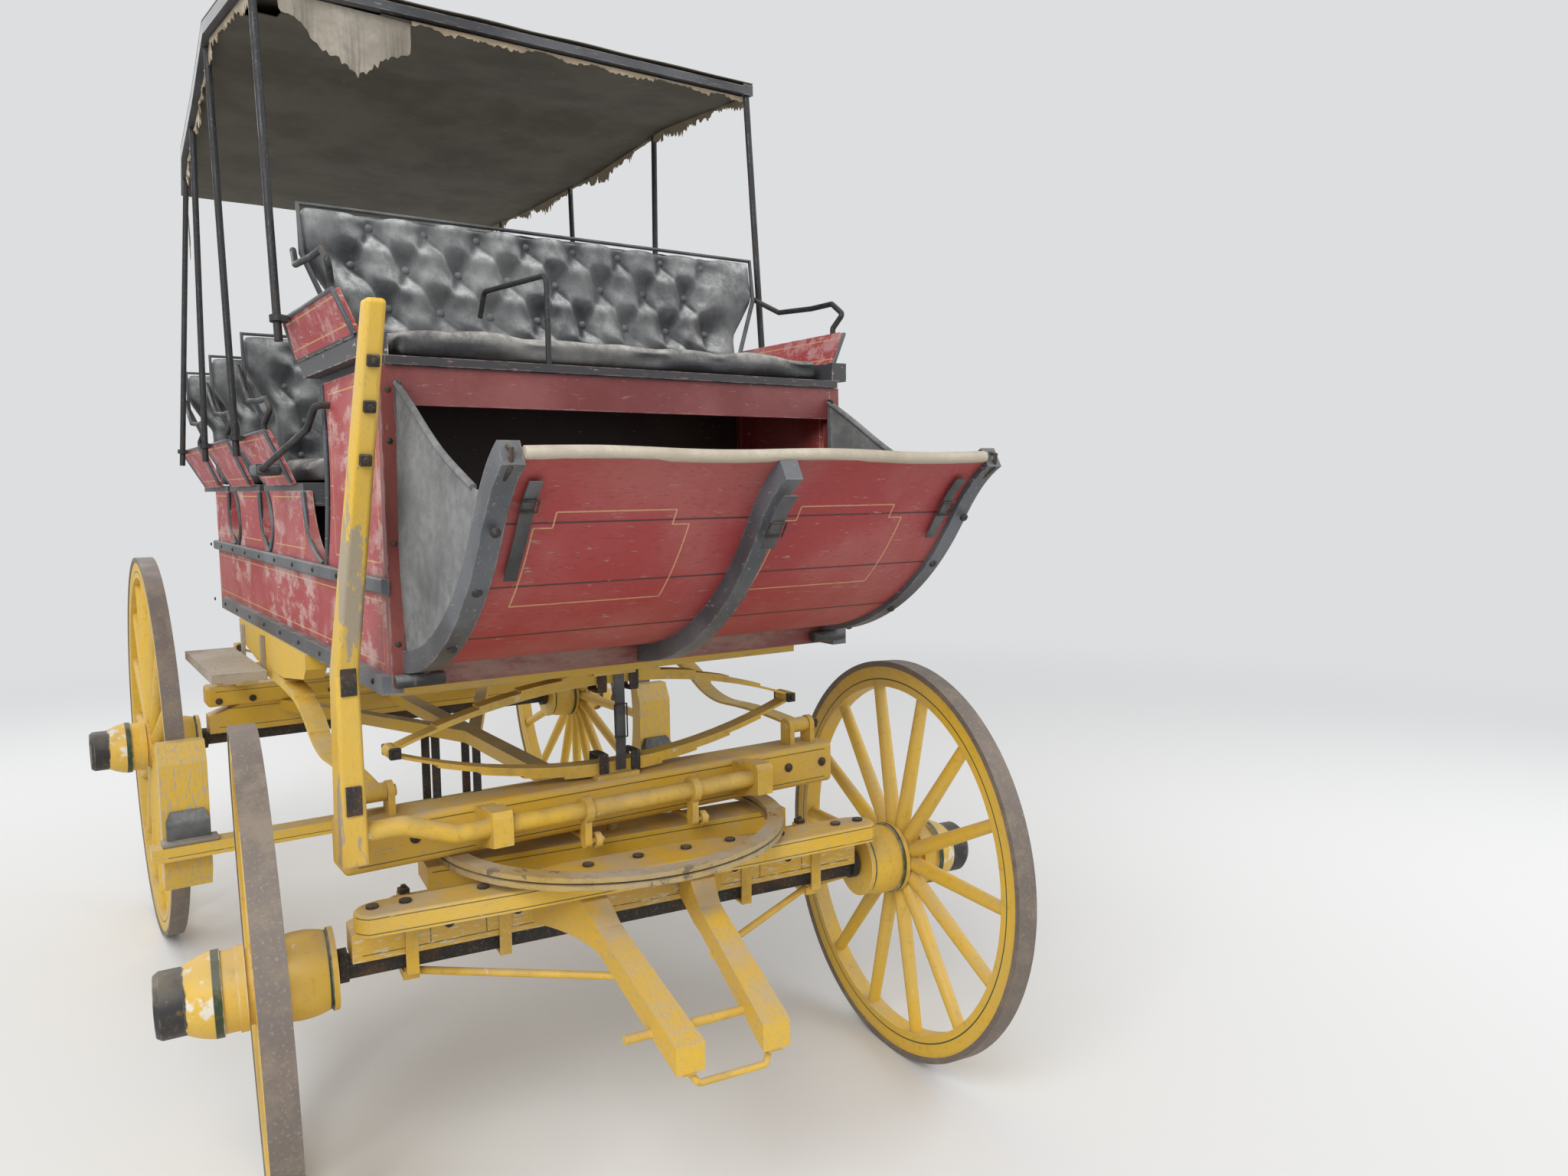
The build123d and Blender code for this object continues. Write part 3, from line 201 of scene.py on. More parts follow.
def lay_finish(tree, colour, rough, height, strength, distance):
    # Colour, roughness and relief go to the shader's own sockets.
    shader = tree.nodes["Principled BSDF"]
    tree.links.new(colour, shader.inputs["Base Color"])
    tree.links.new(rough, shader.inputs["Roughness"])
    relief = node(tree, "Bump", {"Strength": strength, "Distance": distance, "Height": height})
    tree.links.new(relief[0], shader.inputs["Normal"])


def old_paint(name, colour, faded, bare, dusting=0.45, chips=0.62, rough=0.5, grain=(1, 1, 1),
              edge_radius=0.005, speckle=0.35, pattern=None):
    # Faded and crazed paint, chipped to the bare ground where it is rubbed, with dust settled on top.
    material, tree, place = new_finish(name)
    clouds = grain_noise(tree, place, 3.2, 5)
    paint = mix_colour(tree, ramp(tree, clouds, 0.38, 0.68), colour, faded)
    if pattern:
        paint = pattern(tree, place, paint)
    lines = grain_noise(tree, place, 55, 6, grain)
    crazing = times(tree, ramp(tree, lines, 0.52, 0.75), speckle)
    paint = mix_colour(tree, crazing, paint, tuple(channel * 0.45 for channel in colour))
    flakes = grain_noise(tree, place, 22, 9, grain, 0.7)
    chip = ramp(tree, flakes, chips, chips + 0.05)
    rub = times(tree, edge_wear(tree, edge_radius), ramp(tree, grain_noise(tree, place, 34, 6), 0.40, 0.62))
    chip = maths(tree, "MAXIMUM", chip, times(tree, rub, 0.9))
    paint = mix_colour(tree, chip, paint, bare)
    patches = ramp(tree, grain_noise(tree, place, 9, 6), 0.30, 0.72)
    settled = times(tree, ramp(tree, facing_up(tree), 0.15, 0.95), patches)
    paint = mix_colour(tree, times(tree, settled, dusting), paint, (0.40, 0.35, 0.28))
    uneven = ramp(tree, maths(tree, "ADD", chip, settled), 0.0, 1.2, rough, 0.88)
    lay_finish(tree, paint, uneven, maths(tree, "SUBTRACT", lines, chip), 0.35, 0.0008)
    return material


def dress(name, material):
    nodes[name].data.materials.clear()
    nodes[name].data.materials.append(material)


yellow = (0.66, 0.41, 0.035)
yellow_faded = (0.60, 0.40, 0.085)
primer = (0.62, 0.58, 0.48)
dark_green = (0.02, 0.045, 0.02)
hub_radius = 0.115
hub_rings = ((0.0765, 0.0925), (-0.0425, -0.0335), (-0.127, -0.120))


def wheel_paint(name, centre, turned, radius):
    def bands(tree, place, paint):
        local = seen_from(tree, place, centre, turned)
        flat = node(tree, "VectorMath", {0: local, 1: (1, 1, 0)}, operation="MULTIPLY")[0]
        reach = node(tree, "VectorMath", {0: flat}, operation="LENGTH")["Value"]
        out = axes(tree, local)[2]
        ragged = maths(tree, "ADD", out, times(tree, grain_noise(tree, place, 40, 6), 0.02))
        hub = ramp(tree, reach, hub_radius + 0.003, hub_radius - 0.003)
        flakes = ramp(tree, grain_noise(tree, place, 24, 8), 0.52, 0.60)
        flaking = times(tree, between(tree, out, 0.09, 0.145, 0.004), flakes)
        paint = mix_colour(tree, times(tree, flaking, hub), paint, (0.66, 0.62, 0.52))
        for low, high in hub_rings:
            paint = mix_colour(tree, times(tree, between(tree, out, low, high), hub), paint, dark_green)
        nose = times(tree, ramp(tree, ragged, 0.150, 0.154), hub)
        paint = mix_colour(tree, nose, paint, (0.022, 0.022, 0.024))
        stripe = between(tree, reach, radius - 0.051, radius - 0.0475, 0.0006)
        face = ramp(tree, maths(tree, "ABSOLUTE", out), 0.0215, 0.0225)
        return mix_colour(tree, times(tree, stripe, face), paint, dark_green)
    return old_paint(name, yellow, yellow_faded, primer, chips=0.66, pattern=bands)


def iron_finish(name, colour, rust, rough=0.55, speck=0.5, dusting=0.35):
    # Forged iron: rust in clouds, fine pale specks, and dust on what faces up.
    material, tree, place = new_finish(name)
    tree.nodes["Principled BSDF"].inputs["Metallic"].default_value = 0.35
    clouds = grain_noise(tree, place, 14, 8, rough=0.65)
    skin = mix_colour(tree, ramp(tree, clouds, 0.45, 0.66), colour, rust)
    fine = ramp(tree, grain_noise(tree, place, 160, 4), 0.55, 0.68)
    skin = mix_colour(tree, times(tree, fine, speck), skin, (0.30, 0.26, 0.21))
    settled = times(tree, ramp(tree, facing_up(tree), 0.2, 0.95), ramp(tree, clouds, 0.3, 0.7))
    skin = mix_colour(tree, times(tree, settled, dusting), skin, (0.36, 0.31, 0.25))
    uneven = ramp(tree, clouds, 0.3, 0.7, rough, 0.85)
    lay_finish(tree, skin, uneven, grain_noise(tree, place, 120, 5), 0.4, 0.0006)
    return material


king = -0.080
parked = math.radians(-6.5)
camber = math.radians(1.3)


def on_gear(x, y, z):
    # A place on the front gear, turned with it about the king pin.
    dx = x - king
    turned_x = king + dx * math.cos(parked) - y * math.sin(parked)
    return Vector(at(turned_x, dx * math.sin(parked) + y * math.cos(parked), z))


tyre_iron = iron_finish("tyre_iron", (0.17, 0.14, 0.12), (0.25, 0.20, 0.155), 0.5, 0.6)
sides = ((-1, "right"), (1, "left"))
for side, word in sides:
    for end, centre, turned, radius in (
        ("front", on_gear(0, side * 0.7875, 0.53445), (-side * (math.pi / 2 + camber), 0, parked), 0.534),
        ("rear", at(-2.08, side * 0.798, 0.66), (-side * math.pi / 2, 0, 0), 0.66),
    ):
        dress(f"{end}_{word}_wheel", wheel_paint(f"{end}_{word}_wheel_paint", centre, turned, radius))
        dress(f"{end}_{word}_tyre", tyre_iron)

# Axles, turning circles and jaw irons: forged black iron, rusty and dusty on top.
# The beds, sand board, futchells and splinter bar are yellow painted timber bolted over them.
black_iron = iron_finish("black_iron", (0.030, 0.028, 0.027), (0.085, 0.055, 0.035), 0.5, 0.25)
dress("front_axle", black_iron)
dress("rear_axle", black_iron)
king_place = at(king, 0, 0)


def timber_paint(node_name, name, lines=(), grain=(8, 1, 8), chips=0.60, turn=0.0, bare=(0.42, 0.36, 0.28)):
    # Yellow timber with thin green lines; each line is an axis, a place and the span of another axis.
    def stripes(tree, place, paint):
        local = axes(tree, seen_from(tree, place, king_place if turn else (0, 0, 0), (0, 0, turn)))
        for axis, level, other, low, high in lines:
            line = times(tree, thin_line(tree, local[axis], level, 0.0013, 0.0004), between(tree, local[other], low, high))
            paint = mix_colour(tree, times(tree, line, 0.8), paint, dark_green)
        return paint
    dress(node_name, old_paint(name, yellow, yellow_faded, bare, chips=chips, grain=grain, pattern=stripes, dusting=0.75))


across, up = 1, 2
bed_lines = [(up, level, across, -0.60, 0.60) for level in (0.568, 0.641)]
bed_lines += [(across, side * y, up, 0.568, 0.641) for side in (-1, 1) for y in (0.12, 0.34, 0.46)]
timber_paint("front_axle_bed", "front_bed_paint", bed_lines, chips=0.54, turn=parked, bare=primer)
timber_paint("sand_board", "sand_board_paint", [(up, 0.70, across, -0.44, 0.44)], turn=parked)
timber_paint("splinter_bar", "splinter_bar_paint", [(up, level, across, -0.62, 0.62) for level in (0.6565, 0.688)], turn=parked)
timber_paint("futchells", "futchell_paint", grain=(1, 8, 8), chips=0.57, turn=parked)
timber_paint("rear_axle_bed", "rear_bed_paint", [(up, level, across, -0.6, 0.6) for level in (0.70, 0.765)])
timber_paint("bolsters", "bolster_paint", [(up, level, across, -0.61, 0.61) for level in (0.758, 0.834)])
timber_paint("body_transoms", "transom_paint")
timber_paint("side_blocks", "side_block_paint", grain=(1, 8, 8))
timber_paint("reach", "reach_paint", grain=(1, 6, 6))
timber_paint("brake_beam", "brake_beam_paint", [(up, 0.482, across, -0.85, 0.85)])
timber_paint("brake_blocks", "brake_block_paint", grain=(6, 6, 1), chips=0.54)

# Springs, stays and push rods: steel leaves and round bars under yellow paint.
# Their arrises are worn to a whitish primer, and grime has settled between the leaves.


def leaf_lines(tree, place, paint):
    grime = ramp(tree, grain_noise(tree, place, 12, 6), 0.42, 0.62)
    return mix_colour(tree, times(tree, grime, 0.28), paint, (0.26, 0.18, 0.06))


spring_paint = old_paint("spring_paint", yellow, yellow_faded, primer, chips=0.63, edge_radius=0.0025,
                         pattern=leaf_lines)
for name in ("spring_shackles", "cross_springs", "side_springs", "front_stays", "brake_rods", "front_axle_clips",
             "jaw_irons", "brake_rocker", "brake_bearings"):
    dress(name, spring_paint)
circle_paint = old_paint("circle_paint", (0.42, 0.28, 0.07), (0.38, 0.30, 0.17), (0.16, 0.12, 0.08), chips=0.56,
                         dusting=0.9, pattern=leaf_lines)
dress("lower_circle", circle_paint)
dress("upper_circle", circle_paint)
dress("brake_hangers", black_iron)

# Bolts, nuts and rivets of the gear: square black nuts and round carriage heads.
# Each is forged once, then laid along its timber and sunk a little into the paint.


def select_faces(piece, wanted):
    bpy.ops.object.mode_set(mode="OBJECT")
    for face in piece.data.polygons:
        face.select = wanted(face)
    bpy.ops.object.mode_set(mode="EDIT")
    bpy.ops.mesh.select_mode(type="FACE")


def step_up(inset, lift):
    # The selected faces drawn in and then lifted.
    bpy.ops.mesh.inset(thickness=inset)
    bpy.ops.transform.translate(value=(0, 0, lift))


def block(name, place, size, bevel=None):
    # A box with its place and size in its mesh, and its edges bevelled by a width and a count.
    bpy.ops.object.select_all(action="DESELECT")
    bpy.ops.mesh.primitive_cube_add(size=1, location=place)
    piece = bpy.context.object
    piece.name = name
    piece.scale = size
    bpy.ops.object.transform_apply(location=True, rotation=True, scale=True)
    if bevel:
        bpy.ops.object.mode_set(mode="EDIT")
        bpy.ops.mesh.select_all(action="SELECT")
        bpy.ops.mesh.bevel(offset=bevel[0], segments=bevel[1], affect="EDGES")
        bpy.ops.object.mode_set(mode="OBJECT")
    return piece


def round_head(radius, height):
    # A carriage bolt's domed head, standing on z = 0.
    bpy.ops.object.select_all(action="DESELECT")
    bpy.ops.mesh.primitive_cylinder_add(vertices=12, radius=radius, depth=height, location=(0, 0, height / 2))
    head = bpy.context.object
    select_faces(head, lambda face: face.normal.z > 0.5)
    step_up(radius * 0.35, height * 0.45)
    step_up(radius * 0.35, height * 0.2)
    bpy.ops.object.mode_set(mode="OBJECT")
    bpy.ops.object.shade_smooth_by_angle(angle=0.9)
    return head


def square_nut(width, height):
    # A square nut with its bolt's end standing out of it.
    nut = block("nut", (0, 0, height / 2), (width, width, height), (width * 0.07, 1))
    bpy.ops.mesh.primitive_cylinder_add(vertices=10, radius=width * 0.27, depth=height * 1.5,
                                        location=(0, 0, height * 0.75))
    end = bpy.context.object
    select_faces(end, lambda face: face.normal.z > 0.5)
    step_up(width * 0.06, height * 0.06)
    bpy.ops.object.mode_set(mode="OBJECT")
    nut.select_set(True)
    bpy.context.view_layer.objects.active = nut
    bpy.ops.object.join()
    return nut


def fit(piece, body, material, slot_name):
    # The piece gets its finish and rides on its body.
    piece.data.materials.clear()
    piece.data.materials.append(material)
    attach(piece, body)
    return piece


def lay_out(master, name, places, body, material=black_iron, slot_name="black_iron"):
    # One copy of the master for each place and outward direction, joined to one piece.
    copies = []
    for place, out in places:
        spot = Matrix.Translation(Vector(place)) @ Vector(out).to_track_quat("Z", "Y").to_matrix().to_4x4()
        copy = bpy.data.objects.new(name, master.data.copy())
        copy.data.transform(spot)
        scene.collection.objects.link(copy)
        copies.append(copy)
    bpy.data.objects.remove(master)
    bpy.ops.object.select_all(action="DESELECT")
    for copy in copies:
        copy.select_set(True)
    bpy.context.view_layer.objects.active = copies[0]
    if len(copies) > 1:
        bpy.ops.object.join()
    return fit(copies[0], body, material, slot_name)


upwards = (0, 0, 1)
bar_spots = [(on_gear(0.115 if abs(y) > 0.3 else 0.095, y, 0.6944), upwards)
             for y in (-0.585, -0.52, -0.36, -0.235, -0.12, 0.0, 0.12, 0.235, 0.36, 0.52, 0.585)]
lay_out(round_head(0.013, 0.005), "splinter_bar_bolts", bar_spots, "front_gear")
gear_out = Vector((math.cos(parked), math.sin(parked), 0))
bed_spots = [(on_gear(0.0465, y, 0.606), gear_out) for y in (-0.42, -0.27, 0.27, 0.42)]
bed_spots += [(on_gear(0.565, side * 0.092, 0.499), (0.1, 0, 1)) for side in (-1, 1)]
bed_spots += [(on_gear(0.09, side * 0.19, 0.6505), upwards) for side in (-1, 1)]
lay_out(round_head(0.011, 0.005), "front_bed_bolts", bed_spots, "front_gear")
clip_spots = [(on_gear(x, y, 0.6604), upwards) for y in (-0.5, -0.3, 0.3, 0.5) for x in (-0.036, 0.036)]
lay_out(square_nut(0.022, 0.012), "front_clip_nuts", clip_spots, "front_gear")
spring_rows = (("front", king), ("rear", -2.06))
bolster_spots, spring_spots = [], []
for end, x in spring_rows:
    for y in (-0.60, -0.49, -0.22, 0.22, 0.49, 0.60):
        bolster_spots += [(at(x + face * 0.0555, y, 0.80), (face, 0, 0)) for face in (1, -1)]
    for side in (-1, 1):
        spring_spots += [(at(x + face * 0.0232, side * 0.518, 0.9822), (face, 0, 0)) for face in (-1, 1)]
        spring_spots.append((at(x, side * 0.607, 0.897), (0, side, 0)))
lay_out(round_head(0.012, 0.005), "bolster_bolts", bolster_spots, "coach")
lay_out(square_nut(0.024, 0.012), "spring_nuts", spring_spots, "coach")

# Spring clips: two black iron straps bolted round each cross spring's middle, one above and one below.
# A leather check strap loops through the middle, which stops the springs from throwing the body up.


def worked(piece, kind, **settings):
    # A modifier with its settings, applied to the piece, which is the active object.
    modifier = piece.modifiers.new(kind, kind)
    for setting, value in settings.items():
        setattr(modifier, setting, value)
    bpy.ops.object.modifier_apply(modifier=kind)


def band_round(name, place, size, thick, body):
    # A flat iron band bent round a bar: a short box with its two ends open, walled by Solidify.
    band = block(name, (0, 0, 0), size)
    select_faces(band, lambda face: abs(face.normal.y) > 0.5)
    bpy.ops.mesh.delete(type="FACE")
    bpy.ops.mesh.select_all(action="SELECT")
    bpy.ops.mesh.subdivide(number_cuts=1)
    bpy.ops.object.mode_set(mode="OBJECT")
    worked(band, "SOLIDIFY", thickness=thick, offset=1)
    worked(band, "BEVEL", width=thick * 0.3, segments=2)
    band.data.transform(Matrix.Translation(place))
    return fit(band, body, black_iron, "black_iron")


for end, x in spring_rows:
    for number, (y, level) in enumerate(((-0.031, 0.877), (0.053, 0.877), (-0.031, 1.088), (0.053, 1.088))):
        band_round(f"{end}_spring_clip_{number}", at(x, y, level), (0.052, 0.024, 0.052), 0.006, "coach")

# Body: red painted pine panels, faded to a chalky pink and crazed, with thin yellow lines.
# The floor is bare dark boards, the box's inside boards are painted nearly black as painted shade, and the front
# pillars are a deeper red.
red = (0.33, 0.036, 0.038)
red_faded = (0.40, 0.100, 0.098)
line_yellow = (0.62, 0.42, 0.12)
body_bare = (0.52, 0.44, 0.37)
bare_grey = (0.40, 0.34, 0.29)
side_frames = (
    (-2.07, 0.06, 1.195, 1.322), (-0.31, 0.06, 1.40, 1.76),
    (-1.02, -0.64, 1.40, 1.53), (-1.57, -1.24, 1.40, 1.53), (-2.07, -1.82, 1.40, 1.53),
)


def panel_lines(tree, place, paint):
    # Thin yellow frames on the side panels: each has its span along x and its span in height.
    along, _, height = axes(tree, place)
    for rear, front, low, high in side_frames:
        rear, front = front_axle + rear, front_axle + front
        inside_x, inside_z = between(tree, along, rear, front, 0.0003), between(tree, height, low, high, 0.0003)
        for value, levels, inside in ((height, (low, high), inside_x), (along, (rear, front), inside_z)):
            for level in levels:
                line = times(tree, thin_line(tree, value, level, 0.0014, 0.0004), inside)
                paint = mix_colour(tree, times(tree, line, 0.75), paint, line_yellow)
    smears = times(tree, ramp(tree, grain_noise(tree, place, 11, 9, (0.7, 1, 1.4), 0.68), 0.47, 0.60),
                   ramp(tree, grain_noise(tree, place, 2.6, 3), 0.40, 0.56))
    return mix_colour(tree, times(tree, smears, 0.62), paint, (0.60, 0.46, 0.42))


panel_paint = old_paint("side_panel_paint", red, red_faded, body_bare, rough=0.6, grain=(1, 4, 5), pattern=panel_lines)
dress("side_panel_left", panel_paint)
dress("side_panel_right", panel_paint)


def seat_end_colours(tree, place, paint):
    # The board's rounded end under the driver's seat end is black, and the red plate has a yellow line.
    height = axes(tree, place)[2]
    for level in (1.868, 1.921, 1.583, 1.681):
        paint = mix_colour(tree, times(tree, thin_line(tree, height, level, 0.0013), 0.7), paint, line_yellow)
    worn = ramp(tree, grain_noise(tree, place, 14, 8, rough=0.7), 0.50, 0.60)
    paint = mix_colour(tree, times(tree, worn, 0.6), paint, (0.52, 0.30, 0.30))
    return mix_colour(tree, between(tree, height, 1.79, 1.851, 0.0008), paint, (0.045, 0.047, 0.052))


dress("seat_ends", old_paint("seat_end_paint", red, red_faded, body_bare, chips=0.60, rough=0.6, grain=(1, 4, 5),
                             pattern=seat_end_colours))
rear_panel_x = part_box("cross_panels")[0][0] + 0.021


def apron_colours(tree, place, paint):
    # The apron under the footboard is red brown, the rear panel red, and the boards inside the box nearly black as
    # painted shade.
    along = axes(tree, place)[0]
    weathered = ramp(tree, grain_noise(tree, place, 6, 8, (1, 0.5, 2), 0.7), 0.42, 0.62)
    apron = mix_colour(tree, weathered, (0.20, 0.050, 0.045), (0.27, 0.165, 0.125))
    paint = mix_colour(tree, ramp(tree, along, front_axle + 0.03, front_axle + 0.04), paint, apron)
    behind = ramp(tree, along, rear_panel_x - 0.012, rear_panel_x - 0.010, 1.0, 0.0)
    return mix_colour(tree, behind, paint, mix_colour(tree, weathered, red, red_faded))


def riser_colours(tree, place, paint):
    # The riser under the driver's seat is red with a black rail above it.
    return mix_colour(tree, ramp(tree, axes(tree, place)[2], 1.785, 1.7865), paint, (0.035, 0.035, 0.038))


# The nearly black base colour of the boards inside the box is painted shade.
dress("cross_panels", old_paint("shadowed_boards", (0.030, 0.018, 0.015), (0.050, 0.034, 0.028), (0.20, 0.15, 0.12),
                                grain=(5, 1, 5), pattern=apron_colours))
dress("front_pillars", old_paint("pillar_paint", (0.16, 0.030, 0.026), (0.22, 0.06, 0.05), bare_grey, chips=0.64,
                                 grain=(5, 5, 1)))
dress("floor", old_paint("floor_boards", (0.10, 0.075, 0.055), (0.16, 0.13, 0.10), bare_grey, chips=0.6,
                         grain=(1, 9, 9)))
moulding_paint = old_paint("moulding_paint", (0.045, 0.050, 0.058), (0.11, 0.12, 0.135), (0.26, 0.24, 0.22),
                           chips=0.60, rough=0.45, grain=(1, 6, 6))
dress("side_mouldings", moulding_paint)
dress("steps", old_paint("step_paint", (0.27, 0.22, 0.15), (0.36, 0.31, 0.24), (0.10, 0.08, 0.06), chips=0.6,
                         grain=(1, 9, 9)))
dress("driver_seat_board", old_paint("driver_board_paint", (0.165, 0.030, 0.030), (0.25, 0.075, 0.072),
                                     (0.30, 0.20, 0.18), chips=0.61, grain=(6, 1, 8), pattern=riser_colours))
black_boards = old_paint("black_board_paint", (0.030, 0.030, 0.034), (0.075, 0.078, 0.085), (0.22, 0.19, 0.16),
                         chips=0.6, grain=(6, 1, 8))
dress("passenger_seats", black_boards)
dress("roof_frame", black_boards)
post_iron = iron_finish("post_iron", (0.026, 0.027, 0.029), (0.050, 0.046, 0.043), 0.42, 0.15, 0.25)
for name in ("arm_irons", "roof_posts", "post_brackets", "guard_irons"):
    dress(name, post_iron)
rivets = []
for side in (-1, 1):
    for step in range(10):
        x = 0.04 - step * 0.238
        rivets.append((at(x, side * 0.5805, 1.160), (0, side, 0)))
        rivets.append((at(x - 0.05, side * 0.5765, 1.356), (0, side, 0)))
    rivets += [(at(0.1102, side * 0.546, level), (1, 0, 0)) for level in (1.24, 1.44, 1.64, 1.74)]
lay_out(round_head(0.006, 0.003), "body_rivets", rivets, "coach")

# Black iron trim bound round the seat ends' edges and along the panels' cut edges.
# Half round bars about 12 mm wide, nailed on.


def pick(piece):
    bpy.ops.object.select_all(action="DESELECT")
    piece.select_set(True)
    bpy.context.view_layer.objects.active = piece


def bar_along(name, points, radius, material=black_iron, slot_name="black_iron", smooth=False):
    # A round bar drawn along points, straight between them or in one smooth line.
    route = bpy.data.curves.new(name, "CURVE")
    route.dimensions = "3D"
    spline = route.splines.new("NURBS" if smooth else "POLY")
    spline.points.add(len(points) - 1)
    for point, here in zip(spline.points, points):
        point.co = (*here, 1)
    if smooth:
        spline.order_u = 3
        spline.use_endpoint_u = True
        route.resolution_u = 6
    route.bevel_depth = radius
    route.bevel_resolution = 2
    route.use_fill_caps = True
    bar = bpy.data.objects.new(name, route)
    scene.collection.objects.link(bar)
    pick(bar)
    bpy.ops.object.convert(target="MESH")
    bpy.ops.object.shade_smooth_by_angle(angle=0.8)
    return fit(bpy.context.object, "coach", material, slot_name)


trim_out = 0.0135
black_wood = (moulding_paint, "black_wood")
panel_cuts = (
    ((-0.397, 1.372), (-0.372, 1.46), (-0.346, 1.58), (-0.360, 1.785)),
    ((-0.442, 1.372), (-0.535, 1.40), (-0.60, 1.45), (-0.626, 1.543)),
    ((-1.098, 1.372), (-1.040, 1.42), (-1.034, 1.47), (-1.090, 1.543)),
    ((-1.108, 1.372), (-1.185, 1.41), (-1.218, 1.46), (-1.229, 1.543)),
    ((-1.627, 1.372), (-1.585, 1.42), (-1.585, 1.47), (-1.648, 1.543)),
    ((-1.700, 1.372), (-1.775, 1.41), (-1.796, 1.46), (-1.799, 1.543)),
)
for side, word in sides:
    low_y, high_y = side * (0.575 + trim_out), side * (0.612 + trim_out)
    edge = [at(0.050, low_y, 1.850), at(0.050, high_y, 1.933), at(-0.418, high_y, 1.933), at(-0.487, low_y, 1.856)]
    bar_along(f"driver_end_trim_{word}", edge, 0.0055, *black_wood)
    low_y, high_y = side * (0.562 + trim_out), side * (0.617 + trim_out)
    for row, front in enumerate((-0.630, -1.230, -1.820)):
        edge = [at(front - 0.065, low_y, 1.567), at(front - 0.066, high_y, 1.696),
                at(front - 0.536, high_y, 1.696), at(front - 0.402, low_y, 1.567)]
        bar_along(f"seat_end_trim_{word}_{row}", edge, 0.0055, *black_wood)
    for number, points in enumerate(panel_cuts):
        edge = [at(x, side * 0.5615, z) for x, z in points]
        bar_along(f"panel_edge_{word}_{number}", edge, 0.006, *black_wood, smooth=True)

# Seats: black leather over horsehair, buttoned through, dusty and creased, with a painted highlight on the puffs and
# painted shade in the creases.
# Each is swelled by pressure from a slimmer remeshed form whose button points are held.


def leather_finish(name, colour=(0.022, 0.023, 0.026), dust_and_highlight=(0.40, 0.41, 0.41), dusting=0.75, low=-0.25, high=0.62,
                   rough=(0.50, 0.90)):
    # Leather or canvas: dust on what faces up, rubbed and streaked, with a crazed skin; the pale is kept to the puffs
    # as a painted highlight and off the folds, which stay dark as painted shade.
    material, tree, place = new_finish(name)
    hide = mix_colour(tree, ramp(tree, grain_noise(tree, place, 5, 8, rough=0.6), 0.35, 0.65), colour,
                      tuple(0.8 * a + 0.2 * b for a, b in zip(colour, dust_and_highlight)))
    surface = node(tree, "NewGeometry")
    settled = times(tree, ramp(tree, axes(tree, surface["Normal"])[2], low, high),
                    ramp(tree, grain_noise(tree, place, 6, 8, rough=0.65), 0.30, 0.58))
    # Pointiness keeps the pale off the concave folds: painted shade in the creases and a painted highlight on the
    # puffs.
    settled = times(tree, settled, ramp(tree, surface["Pointiness"], 0.462, 0.512))
    settled = times(tree, settled, ramp(tree, grain_noise(tree, place, 38, 10, rough=0.72), 0.36, 0.62, 0.45, 1.0))
    # The pale colour laid here is dust on what faces up and a painted highlight on the puffs.
    hide = mix_colour(tree, times(tree, settled, dusting), hide, dust_and_highlight)
    streaks = ramp(tree, grain_noise(tree, place, 30, 8, (1, 1, 0.25), 0.7), 0.60, 0.72)
    hide = mix_colour(tree, times(tree, streaks, 0.28), hide, (0.34, 0.32, 0.29))
    cells = node(tree, "TexVoronoi", {"Vector": place, "Scale": 260}, feature="DISTANCE_TO_EDGE")["Distance"]
    creases = maths(tree, "ADD", grain_noise(tree, place, 45, 8, rough=0.7),
                    times(tree, grain_noise(tree, place, 13, 4, rough=0.5), 3.0))
    lay_finish(tree, hide, ramp(tree, maths(tree, "ADD", settled, streaks), 0.0, 0.7, *rough),
               maths(tree, "ADD", creases, ramp(tree, cells, 0.0, 0.12, 0.0, 0.35)), 0.6, 0.0020)
    return material


leather = leather_finish("black_leather", dusting=0.45)
black_leather = (leather, "black_leather")
back_leather = leather_finish("back_leather", (0.018, 0.020, 0.024), (0.50, 0.51, 0.50), 0.95, -0.12, 0.50)
cushion_leather = leather_finish("cushion_leather", dust_and_highlight=(0.54, 0.52, 0.48), dusting=0.9, low=0.0, high=0.85)


def crease_depth(spot, folds):
    # How near a spot on the pad lies to a fold that runs between two buttons.
    best = 1.0
    for (ax, ay), (bx, by) in folds:
        share = ((spot.x - ax) * (bx - ax) + (spot.y - ay) * (by - ay)) / ((bx - ax) ** 2 + (by - ay) ** 2)
        share = min(1, max(0, share))
        best = min(best, math.hypot(spot.x - ax - share * (bx - ax), spot.y - ay - share * (by - ay)))
    return math.exp(-(best / 0.011) ** 2)


def swell_up(pad, most):
    # Pressure fills the pad for 20 frames; no point may move further than most.
    still = [corner.co.copy() for corner in pad.data.vertices]
    cloth = pad.modifiers.new("swell", "CLOTH")
    for setting, value in (("quality", 4), ("use_pressure", True), ("uniform_pressure_force", 4),
                           ("vertex_group_mass", "held"), ("tension_stiffness", 12), ("compression_stiffness", 12),
                           ("bending_stiffness", 0.8)):
        setattr(cloth.settings, setting, value)
    cloth.settings.effector_weights.gravity = 0
    for step in range(1, 21):
        scene.frame_set(step)
    shaped = pad.evaluated_get(bpy.context.evaluated_depsgraph_get())
    moved = [corner.co.copy() for corner in shaped.data.vertices]
    pad.modifiers.remove(cloth)
    scene.frame_set(1)
    for corner, before, after in zip(pad.data.vertices, still, moved):
        step = after - before
        if step.length > most:
            step = step * (most / step.length)
        corner.co = before + step


